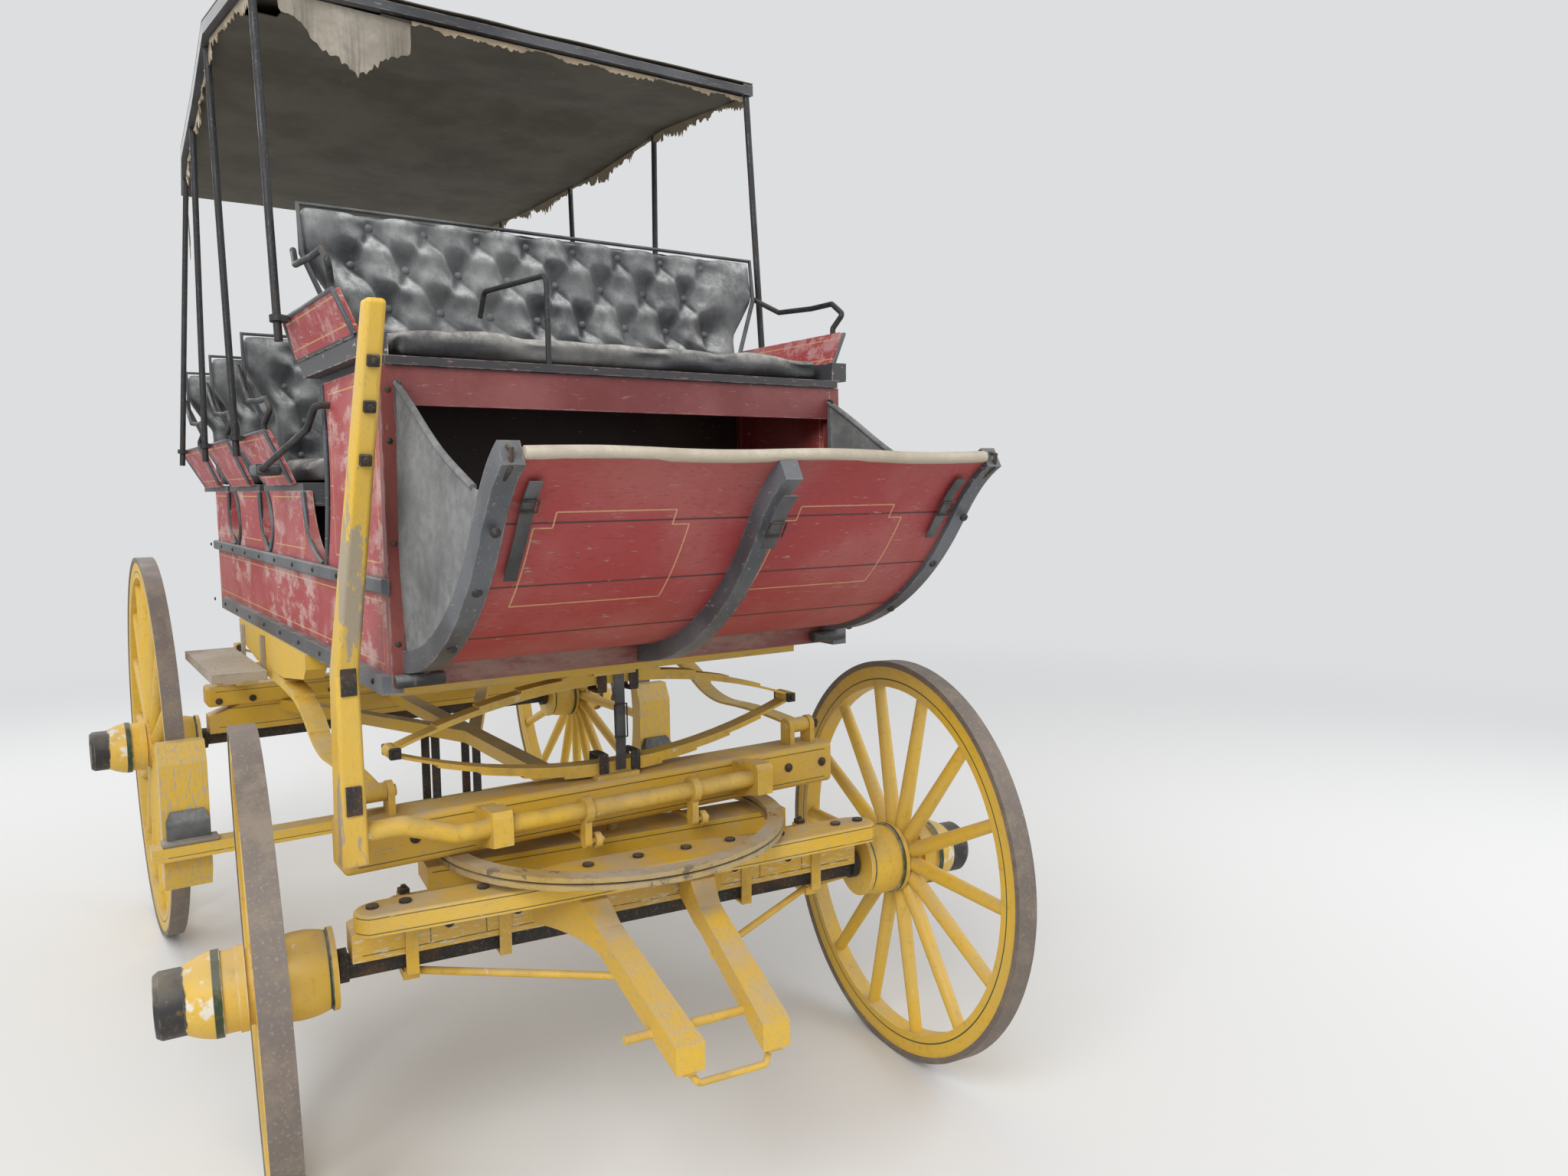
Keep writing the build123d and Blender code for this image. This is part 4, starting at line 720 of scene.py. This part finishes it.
def upholstered(name, width, length, depth, buttons, narrow=None, voxel=0.008, swell=0.014, dimple=0.014, fold=0.0,
                lumps=0.013):
    # A pad lying face up on z = 0: width along y, length along x, button places as (x, y).
    slack, pit_reach = 0.012, 0.062
    folds = [(a, b) for a in buttons for b in buttons if a < b and a[0] != b[0] and math.dist(a, b) < 0.165]
    pad = block(name, (0, 0, depth / 2), (length - 2 * slack, width - 2 * slack, depth - slack))
    bpy.ops.object.mode_set(mode="EDIT")
    if narrow:
        start, end, half = narrow
        for level in (start, end):
            bpy.ops.mesh.select_all(action="SELECT")
            bpy.ops.mesh.bisect(plane_co=(level, 0, 0), plane_no=(1, 0, 0))
        bpy.ops.object.mode_set(mode="OBJECT")
        for corner in pad.data.vertices:
            if corner.co.x <= end + 0.001:
                corner.co.y *= (half - slack) / (width / 2 - slack)
        bpy.ops.object.mode_set(mode="EDIT")
    bpy.ops.mesh.select_all(action="SELECT")
    bpy.ops.mesh.bevel(offset=0.014, segments=3, affect="EDGES")
    bpy.ops.object.mode_set(mode="OBJECT")
    worked(pad, "REMESH", mode="VOXEL", voxel_size=voxel)
    held = pad.vertex_groups.new(name="held")
    for corner in pad.data.vertices:
        nearest = min(((corner.co.x - x) ** 2 + (corner.co.y - y) ** 2) ** 0.5 for x, y in buttons)
        if corner.co.z < depth * 0.3:
            held.add([corner.index], 1.0, "REPLACE")
            continue
        uneven = mathnoise.noise(corner.co * 9 + Vector((3.1, 0, len(name))))
        if corner.co.z < depth * 0.62:
            corner.co.x += lumps * uneven * (1 if corner.co.x > 0 else 0)
            continue
        pit = 1 - min(1, nearest / pit_reach)
        pit = pit * pit * (3 - 2 * pit)
        crease = crease_depth(corner.co, folds) if fold else 0
        corner.co.z += lumps * uneven * (1 - pit) - dimple * pit - fold * crease * (1 - 0.5 * pit)
        if nearest < voxel * 1.05:
            held.add([corner.index], 1.0, "REPLACE")
        elif crease > 0.5:
            held.add([corner.index], 0.45, "REPLACE")
    swell_up(pad, swell)
    pick(pad)
    bpy.ops.object.shade_smooth()
    return pad


def pad_copy(pad, name, spot, material):
    # The pad's own copy, put in its place.
    copy = bpy.data.objects.new(name, pad.data.copy())
    copy.data.transform(spot)
    scene.collection.objects.link(copy)
    fit(copy, "coach", material, "black_leather")
    return copy


def pad_buttons(pad, name, spots, spot):
    # Leather covered buttons at the bottom of the pad's dimples.
    places = []
    for x, y in spots:
        near = [corner.co.z for corner in pad.data.vertices if corner.co.z > 0.01
                and abs(corner.co.x - x) < 0.012 and abs(corner.co.y - y) < 0.012]
        if near:
            places.append((spot @ Vector((x, y, min(near) - 0.001)), spot.to_3x3() @ Vector(upwards)))
    lay_out(round_head(0.0105, 0.006), name, places, "coach", *black_leather)


driver_board_top, row_board_top = 1.8055, 1.5655
seat_buttons = [(x, y) for x in (-0.085, 0.085) for y in (-0.45, -0.27, -0.09, 0.09, 0.27, 0.45)]
driver_pad = upholstered("driver_pad", 1.06, 0.370, 0.060, seat_buttons)
spot = Matrix.Translation(at(-0.0913, 0, driver_board_top))
driver_cushion = pad_copy(driver_pad, "driver_cushion_leather", spot, cushion_leather)
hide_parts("driver_cushion")
pad_buttons(driver_pad, "driver_cushion_buttons", seat_buttons, spot)
passenger_pad = upholstered("passenger_pad", 1.06, 0.452, 0.068, seat_buttons)
for row, (front, rear) in enumerate(((-0.620, -1.0816), (-1.220, -1.6996), (-1.810, -2.2996))):
    spot = Matrix.Translation(at((front + rear) / 2, 0, row_board_top))
    spot = spot @ Matrix.Diagonal(((front - rear) / 0.4616, 1, 1, 1))
    cushion = pad_copy(passenger_pad, f"passenger_cushion_{row}", spot, cushion_leather)
    pad_buttons(passenger_pad, f"passenger_cushion_buttons_{row}", seat_buttons, spot)
    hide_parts("passenger_cushions")
bpy.data.objects.remove(driver_pad)
bpy.data.objects.remove(passenger_pad)
foot_half, top_half = 0.533, 0.598


def lay_back(pad, name, foot_x, foot_z, top_x, top_z, spots):
    # The pad stands on its lower edge and leans back against its iron frame.
    lean = Vector((top_x - foot_x, 0, top_z - foot_z))
    tall = lean.length
    lean.normalize()
    out = Vector((0, 1, 0)).cross(lean)
    middle = Vector(at(foot_x, 0, foot_z + 0.0092)) + lean * (tall - 0.010) / 2 - out * 0.065
    spot = Matrix.Translation(middle) @ Matrix((lean, (0, -1, 0), out)).transposed().to_4x4()
    back = pad_copy(pad, name, spot, back_leather)
    pick(back)
    bpy.ops.object.mode_set(mode="EDIT")
    bpy.ops.mesh.select_all(action="SELECT")
    bpy.ops.mesh.normals_make_consistent(inside=False)
    bpy.ops.object.mode_set(mode="OBJECT")
    pad_buttons(pad, f"{name}_buttons", spots, spot)
    half_edge = ((-0.10, foot_half), (0.07, top_half), (tall / 2 - 0.012, top_half))
    edge = [spot @ Vector((x, y, 0.050)) for x, y in half_edge]
    edge += [spot @ Vector((x, -y, 0.050)) for x, y in reversed(half_edge)]
    bar_along(f"{name}_piping", edge, 0.006, *black_leather)
    return back


def button_rows(*rows):
    # Eight buttons to a row: its height, its first button and its pitch.
    return [(x, first - step * pitch) for x, first, pitch in rows for step in range(8)]


tufted = {"width": 1.208, "depth": 0.065, "swell": 0.020, "dimple": 0.027, "fold": 0.009, "lumps": 0.009}
back_buttons = button_rows((0.152, 0.443, 0.127), (0.061, 0.491, 0.125), (-0.034, 0.413, 0.122), (-0.125, 0.460, 0.125))
driver_back_pad = upholstered("driver_back_pad", length=0.3786, buttons=back_buttons,
                              narrow=(0.070, -0.042, foot_half), voxel=0.0075, **tufted)
driver_back = lay_back(driver_back_pad, "driver_back_leather", -0.283, 1.805, -0.336, 2.190, back_buttons)
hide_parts("driver_back")
row_buttons = button_rows((0.165, 0.443, 0.127), (0.065, 0.491, 0.127), (-0.035, 0.443, 0.127), (-0.135, 0.460, 0.127))
row_pad = upholstered("row_back_pad", length=0.4288, buttons=row_buttons, narrow=(0.100, -0.004, foot_half),
                      voxel=0.009, **tufted)
for row, (foot_x, top_x) in enumerate(((-1.082, -1.140), (-1.700, -1.760), (-2.300, -2.370))):
    row_back = lay_back(row_pad, f"passenger_back_{row}", foot_x, 1.565, top_x, 2.000, row_buttons)
    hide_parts("passenger_backs")
bpy.data.objects.remove(driver_back_pad)
bpy.data.objects.remove(row_pad)

# Footboard: four pine planks bent up before the driver's feet, red outside and worn grey inside.
# Two iron shod ribs and a middle rib carry it, and its top edge is bound with pale canvas.
plank_seams = (1.272, 1.375, 1.487)
frame_low, frame_shoulder, frame_top, frame_step = 1.336, 1.478, 1.505, 0.035


def footboard_colours(tree, place, paint):
    _, sideways, height = axes(tree, place)
    inside = ramp(tree, facing_up(tree), 0.0, 0.02)
    worn = ramp(tree, grain_noise(tree, place, 7, 8, (2, 0.5, 2), 0.65), 0.35, 0.62)
    paint = mix_colour(tree, inside, paint, mix_colour(tree, worn, (0.19, 0.165, 0.145), (0.33, 0.30, 0.27)))
    for level in plank_seams:
        seam = thin_line(tree, height, level, 0.0016, 0.001)
        paint = mix_colour(tree, times(tree, seam, 0.9), paint, (0.02, 0.014, 0.012))
    # A thin yellow frame on each half, stepped in at its two upper corners.
    lines = 0.0
    for left, right in ((-0.445, -0.145), (0.060, 0.365)):
        in_left, in_right = left + frame_step, right - frame_step
        level_lines = ((in_left, in_right, frame_top), (left, in_left, frame_shoulder),
                       (in_right, right, frame_shoulder), (left, right, frame_low))
        upright_lines = ((frame_low, frame_shoulder, left), (frame_low, frame_shoulder, right),
                         (frame_shoulder, frame_top, in_left), (frame_shoulder, frame_top, in_right))
        for value, half, other, spans in ((height, 0.0012, sideways, level_lines),
                                          (sideways, 0.0015, height, upright_lines)):
            for low, high, level in spans:
                line = times(tree, thin_line(tree, value, level, half), between(tree, other, low, high, 0.0003))
                lines = maths(tree, "MAXIMUM", lines, line)
    outside = maths(tree, "SUBTRACT", 0.62, times(tree, inside, 0.62))
    return mix_colour(tree, times(tree, lines, outside), paint, (0.62, 0.40, 0.20))


dress("footboard", old_paint("footboard_paint", (0.30, 0.030, 0.031), (0.34, 0.085, 0.078), (0.34, 0.20, 0.17),
                             chips=0.61, speckle=0.6, rough=0.6, grain=(5, 1, 5), pattern=footboard_colours))
dress("footboard_ribs", moulding_paint)
canvas = leather_finish("pale_canvas", (0.40, 0.34, 0.26), (0.60, 0.54, 0.44), 0.8, -1.2, 0.6, (0.85, 0.95))
top_edge = [at(0.679 + 0.003 * math.sin(step * 2.1), -0.498 + step * 0.0996, 1.600 + 0.003 * math.sin(step * 1.3))
            for step in range(11)]
bar_along("footboard_binding", top_edge, 0.0118, canvas, "canvas", smooth=True)
# A slotted iron loop stands on the rib's top end, and a hook on the riser, both for the curtain.
rib_loop = ((0.640, 1.586), (0.664, 1.612), (0.690, 1.606), (0.684, 1.578), (0.656, 1.560), (0.640, 1.586))
riser_hook = ((0.104, 1.756), (0.126, 1.756), (0.130, 1.748), (0.126, 1.742))
rib_bolt_line = ((0.20, 1.198, 0.25, -0.97), (0.36, 1.256, 0.5, -0.86), (0.503, 1.370, 0.75, -0.66),
                 (0.60, 1.474, 0.8, -0.6))
rib_bolts = []
for side, word in sides:
    bar_along(f"rib_loop_{word}", [at(x, side * 0.5225, z) for x, z in rib_loop], 0.0045)
    bar_along(f"curtain_hook_{word}", [at(x, side * 0.527, z) for x, z in riser_hook], 0.0035, smooth=True)
    rib_bolts += [(at(x, side * 0.5193, z), (out_x, 0, out_z)) for x, z, out_x, out_z in rib_bolt_line]
lay_out(round_head(0.009, 0.006), "rib_bolts", rib_bolts, "coach")

# Straps: three of leather with iron buckles hang on the footboard's face, for rolling the curtain up.
# A fourth, the check strap, joins the front cross spring's two halves at the middle.


def sheet_mesh(name, corners, faces):
    mesh = bpy.data.meshes.new(name)
    mesh.from_pydata(corners, [], faces)
    piece = bpy.data.objects.new(name, mesh)
    scene.collection.objects.link(piece)
    pick(piece)
    return piece


def leather_strap(name, points, middle_y, width, buckle_at):
    # A strap along points in height, with a square buckle drawn round it.
    corners = [at(x, middle_y + half * width / 2, z) for x, z in points for half in (-1, 0, 1)]
    faces = [(3 * row + side, 3 * row + side + 1, 3 * row + side + 4, 3 * row + side + 3)
             for row in range(len(points) - 1) for side in (0, 1)]
    strap = sheet_mesh(name, corners, faces)
    worked(strap, "SOLIDIFY", thickness=0.0035, offset=0)
    worked(strap, "BEVEL", width=0.001, segments=2)
    bpy.ops.object.shade_smooth_by_angle(angle=0.7)
    fit(strap, "coach", *black_leather)
    upper, lower = points[buckle_at], points[buckle_at + 1]
    ring = [at(x + 0.004, middle_y + side * (width / 2 + 0.003), z - 0.003)
            for (x, z), side in ((upper, -1), (upper, 1), (lower, 1), (lower, -1), (upper, -1))]
    bar_along(f"{name}_buckle", ring, 0.0024)


face_line = [(0.652, 1.556), (0.6215, 1.5275), (0.6085, 1.509), (0.590, 1.483), (0.5725, 1.457), (0.553, 1.432),
             (0.534, 1.409), (0.522, 1.388)]
leather_strap("right_curtain_strap", face_line, -0.468, 0.024, 1)
leather_strap("left_curtain_strap", face_line[:6], 0.462, 0.024, 2)
leather_strap("middle_curtain_strap", [(x + 0.0405, z - 0.0290) for x, z in face_line[:5]], 0.0, 0.030, 2)
leather_strap("check_strap", [(-0.0485, 1.108), (-0.0465, 1.03), (-0.0455, 0.95), (-0.0485, 0.866)], 0.012, 0.026, 1)

# Corner rolls: stuffed leather over the joint of the floor and the front pillars.
# Each is a turned roll with its ends drawn in, tacked on under the pillar's foot.
for side, word in sides:
    bpy.ops.object.select_all(action="DESELECT")
    bpy.ops.mesh.primitive_cylinder_add(vertices=24, radius=0.0135, depth=0.098, rotation=(math.pi / 2, 0, 0),
                                        location=at(0.1245, side * 0.510, 1.1675))
    roll = bpy.context.object
    roll.name = f"corner_roll_{word}"
    bpy.ops.object.transform_apply(location=True, rotation=True, scale=True)
    select_faces(roll, lambda face: abs(face.normal.y) > 0.9)
    bpy.ops.mesh.inset(thickness=0.005)
    step_up(0.004, 0.0005)
    bpy.ops.object.mode_set(mode="OBJECT")
    worked(roll, "BEVEL", width=0.003, segments=3)
    bpy.ops.object.shade_smooth_by_angle(angle=0.7)
    fit(roll, "coach", *black_leather)

# Side curtains: waxed grey canvas, hooked at the riser and laced to the footboard's outer ribs.
# They sag a little in folds from the hook and have dark leather edges.
canvas_grey = leather_finish("curtain_canvas", (0.085, 0.090, 0.090), (0.27, 0.275, 0.27), 0.85, -1.6, 0.3,
                             (0.75, 0.92))
curtain_y = 0.529
top_line = ((0.110, 1.752), (0.200, 1.706), (0.285, 1.655), (0.370, 1.610), (0.455, 1.576), (0.530, 1.548),
            (0.590, 1.534))
rib_line = ((0.112, 1.208), (0.254, 1.250), (0.340, 1.300), (0.425, 1.352), (0.500, 1.428), (0.560, 1.498),
            (0.588, 1.532))
front_line = ((0.111, 1.748), (0.1115, 1.60), (0.112, 1.40), (0.112, 1.21))


def grid_faces(columns, rows):
    # The faces of a grid whose corners run down each column in turn.
    starts = [column * (rows + 1) + row for column in range(columns) for row in range(rows)]
    return [(first, first + 1, first + rows + 2, first + rows + 1) for first in starts]


def along_line(line, share):
    spot = share * (len(line) - 1)
    index = min(int(spot), len(line) - 2)
    return [a + (b - a) * (spot - index) for a, b in zip(line[index], line[index + 1])]


for side, word in sides:
    corners = []
    columns, rows = 26, 22
    for column in range(columns + 1):
        share = column / columns * 0.985
        high, low = along_line(top_line, share), along_line(rib_line, share)
        for row in range(rows + 1):
            fall = row / rows
            slack = math.sin(math.pi * fall) * (1 - share)
            fold = 0.0045 * math.sin(9 * share + 3.4 * fall) + 0.003 * math.sin(17 * share - 5 * fall)
            corners.append(at(high[0] + (low[0] - high[0]) * fall, side * (curtain_y + slack * (fold + 0.004)),
                              high[1] + (low[1] - high[1]) * fall))
    curtain = sheet_mesh(f"side_curtain_{word}", corners, grid_faces(columns, rows))
    bpy.ops.object.mode_set(mode="EDIT")
    bpy.ops.mesh.select_all(action="SELECT")
    bpy.ops.mesh.normals_make_consistent(inside=False)
    bpy.ops.object.mode_set(mode="OBJECT")
    worked(curtain, "SOLIDIFY", thickness=0.0025, offset=0)
    bpy.ops.object.shade_smooth_by_angle(angle=0.9)
    fit(curtain, "coach", canvas_grey, "canvas")
    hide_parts("side_curtains")
    hem = bar_along(f"curtain_hem_{word}", [at(x, side * curtain_y, z) for x, z in top_line[:-1]], 0.0065,
                    canvas_grey, "canvas", smooth=True)
    side_hem = bar_along(f"curtain_side_hem_{word}", [at(x, side * curtain_y, z) for x, z in front_line], 0.0045,
                         *black_leather)

# Roof: an oiled canvas, olive brown with age, nailed over five ash hoops and two side rails.
# Its fringe is worn to ragged tan threads, and a pale flap has torn loose at the right front corner.
roof_z = 2.66805
stations = ((-0.425, 0.668, 0.0), (-0.950, 0.684, 0.050), (-1.400, 0.658, 0.008), (-1.950, 0.626, -0.008),
            (-2.450, 0.572, -0.014))
bays = list(zip(stations, stations[1:]))
roof_canvas = leather_finish("roof_canvas", (0.078, 0.066, 0.045), (0.26, 0.235, 0.19), 0.6, rough=(0.8, 0.95))


def roof_sheet(name, margin, level, hang, trim, torn=0):
    # A sheet stretched along the five stations, sagging between them, with a torn front right corner.
    rows = [([a + (b - a) * step / 12 for a, b in zip(start, end)], hang * math.sin(math.pi * step / 12))
            for start, end in bays for step in range(12)]
    rows.append((stations[-1], 0))
    columns = 28
    corners = []
    for (x, half, rise), sag in rows:
        x = min(stations[0][0] - trim, max(stations[-1][0] + trim, x))
        for column in range(columns + 1):
            part = column / columns
            y = (2 * part - 1) * (half - margin)
            ripple = 0.0012 * math.sin(23 * y + 4 * x)
            corners.append(at(x, y, roof_z + rise + level + (ripple - sag) * math.sin(math.pi * part)))
    faces = [face for place, face in enumerate(grid_faces(len(rows) - 1, columns))
             if sum(divmod(place, columns)) >= torn]
    sheet = sheet_mesh(name, corners, faces)
    bpy.ops.object.mode_set(mode="EDIT")
    bpy.ops.mesh.select_all(action="SELECT")
    bpy.ops.mesh.delete_loose()
    bpy.ops.object.mode_set(mode="OBJECT")
    worked(sheet, "SOLIDIFY", thickness=0.0024, offset=0)
    bpy.ops.object.shade_smooth_by_angle(angle=0.9)
    return fit(sheet, "coach", roof_canvas, "canvas")


roof = roof_sheet("roof_canvas_cloth", 0.0, 0.0340, 0.012, 0.0)
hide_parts("roof_cloth")
lining = roof_sheet("roof_lining_cloth", 0.0185, -0.0028, 0.007, 0.018, torn=6)

random.seed(7)
fringe_cloth = leather_finish("fringe_threads", (0.30, 0.235, 0.15), (0.42, 0.35, 0.25), 0.5)
pale_rag = leather_finish("pale_torn_canvas", (0.20, 0.175, 0.14), (0.40, 0.36, 0.30), 0.8, -1.5, 0.5, (0.85, 0.95))


def ragged_edge(name, start, end, lengths, material=fringe_cloth, rough=0.75, folds=0.004, fray=1.0):
    # A torn strip hanging from start to end, its lower edge frayed to uneven threads.
    width = 0.006
    start, end = Vector(start), Vector(end)
    count = max(2, int((end - start).length / width))
    along = (end - start) / count
    outward = Vector((along.y, -along.x, 0)).normalized()
    corners = []
    for step in range(count + 1):
        wave = mathnoise.noise(Vector((step * width * 13, len(name), 0.5)))
        length = lengths(step / count) * max(0.15, 1 + rough * 1.6 * wave) * (1 + fray * random.uniform(-0.45, 0.15))
        length *= 1 + 0.35 * fray if random.random() > 0.9 else 1.0
        lean = outward * (folds * math.sin(step * width * 60) + random.uniform(-0.0015, 0.0015))
        for level in (0, 0.4, 0.75, 1):
            corners.append(start + along * (step + random.uniform(-0.3, 0.3) * level) + lean * level
                           - Vector((0, 0, length * level)))
    rag = sheet_mesh(name, corners, grid_faces(count, 3))
    worked(rag, "SOLIDIFY", thickness=0.0016, offset=0)
    return fit(rag, "coach", material, "canvas")


for side, word in sides:
    for bay, ((x0, half0, rise0), (x1, half1, rise1)) in enumerate(bays):
        start = at(x0 - 0.017 * (bay == 0), side * (half0 - 0.019), roof_z + rise0 - 0.002)
        end = at(x1, side * (half1 - 0.019), roof_z + rise1 - 0.002)
        ragged_edge(f"fringe_{word}_{bay}", start, end, lambda part: 0.026)
front_x = -0.4425
ragged_edge("fringe_front", at(front_x, 0.645, roof_z - 0.002), at(front_x, -0.30, roof_z - 0.002),
                           lambda part: 0.012)
ragged_edge("torn_flap", at(front_x, -0.60, roof_z - 0.003), at(front_x - 0.012, -0.30, roof_z - 0.003),
                           lambda part: 0.040 + 0.100 * (1 - abs(part - 0.55) / 0.55) ** 0.7, pale_rag, 0.25,
                           0.012, 0.16)
ragged_edge("torn_tail", at(-2.395, -0.560, roof_z - 0.016), at(-2.43, -0.556, roof_z - 0.016),
                           lambda part: 0.26 - 0.10 * part, pale_rag, 0.2, fray=0.3)

# Guard irons' ends: a padded leather sleeve on each iron block beside the second row's entry.
# It is sewn round the block and rounded by wear.
for side, word in sides:
    sleeve = block(f"guard_sleeve_{word}", at(-0.740, side * 0.625, 1.599), (0.095, 0.061, 0.031), (0.009, 3))
    worked(sleeve, "SUBSURF", levels=2, render_levels=2)
    bpy.ops.object.shade_smooth()
    fit(sleeve, "coach", *black_leather)

# Brake: a long ash lever in yellow paint, worn to grey wood where it is pulled, on an iron shaft.
# Two iron strap clamps bind its foot and three square nuts stand near its top.


def lever_colours(tree, place, paint):
    spots = grain_noise(tree, place, 9, 8, (1.6, 1.6, 0.35), 0.65)
    rubbed = between(tree, axes(tree, place)[2], 1.18, 1.50, 0.10)
    worn = ramp(tree, maths(tree, "ADD", spots, times(tree, rubbed, 0.06)), 0.590, 0.620)
    return mix_colour(tree, times(tree, worn, 0.85), paint, (0.30, 0.27, 0.23))


dress("brake_lever", old_paint("lever_paint", yellow, yellow_faded, (0.30, 0.26, 0.22), rough=0.6, grain=(7, 7, 1),
                               pattern=lever_colours))
lever_y = -0.640
for number, (x, z, depth, height) in enumerate(((0.0650, 1.172, 0.0605, 0.0480), (0.0612, 0.935, 0.0715, 0.0515))):
    band_round(f"lever_clamp_{number}", at(x, lever_y, z), (depth, 0.030, height), 0.005, "hand_brake")
lever_nuts = []
for share in (0.609, 0.745, 0.859):
    half_depth = 0.0288 - 0.0060 * share
    x, z = 0.065 + 0.225 * share, 1.185 + 0.695 * share
    place = at(x + 0.951 * half_depth, lever_y + 0.028 * share, z - 0.308 * half_depth)
    lever_nuts.append((place, (0.951, 0, -0.308)))
lay_out(square_nut(0.022, 0.009), "lever_nuts", lever_nuts, "hand_brake")

# Brake pads: each block carries a black leather pad above a dusty cross plate.
# The plate is spiked to the beam, and the pad's top is drawn in where it is nailed to the block.
plate_paint = old_paint("plate_paint", (0.20, 0.18, 0.16), (0.28, 0.26, 0.23), (0.12, 0.10, 0.09), dusting=0.8)
beam_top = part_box("brake_beam")[1][2]
plate_top = beam_top + 0.0115


def between_corners(name, rear, front, low, high, side, near, far):
    # A block between a rear and a front, a low and a high face, and two distances out from the middle.
    middle = at((rear + front) / 2, side * (near + far) / 2, (low + high) / 2)
    return block(name, middle, (front - rear, far - near, high - low))


for side, word in sides:
    plate = between_corners(f"brake_plate_{word}", -1.3340, -1.272, beam_top + 0.0005, plate_top, side, 0.712, 0.862)
    worked(plate, "BEVEL", width=0.0025, segments=3)
    bpy.ops.object.shade_smooth_by_angle(angle=0.7)
    fit(plate, "brake_beam_set", plate_paint, "grey_wood")
    pad = between_corners(f"brake_pad_{word}", -1.3340, -1.302, plate_top + 0.0005, plate_top + 0.050,
                          side, 0.732, 0.846)
    select_faces(pad, lambda face: face.normal.z > 0.9)
    bpy.ops.mesh.extrude_region_move(TRANSFORM_OT_translate={"value": (-0.012, 0, 0.030)})
    bpy.ops.transform.resize(value=(0.45, 0.82, 1))
    bpy.ops.object.mode_set(mode="OBJECT")
    worked(pad, "BEVEL", width=0.006, segments=3)
    bpy.ops.object.shade_smooth_by_angle(angle=0.7)
    fit(pad, "brake_beam_set", *black_leather)
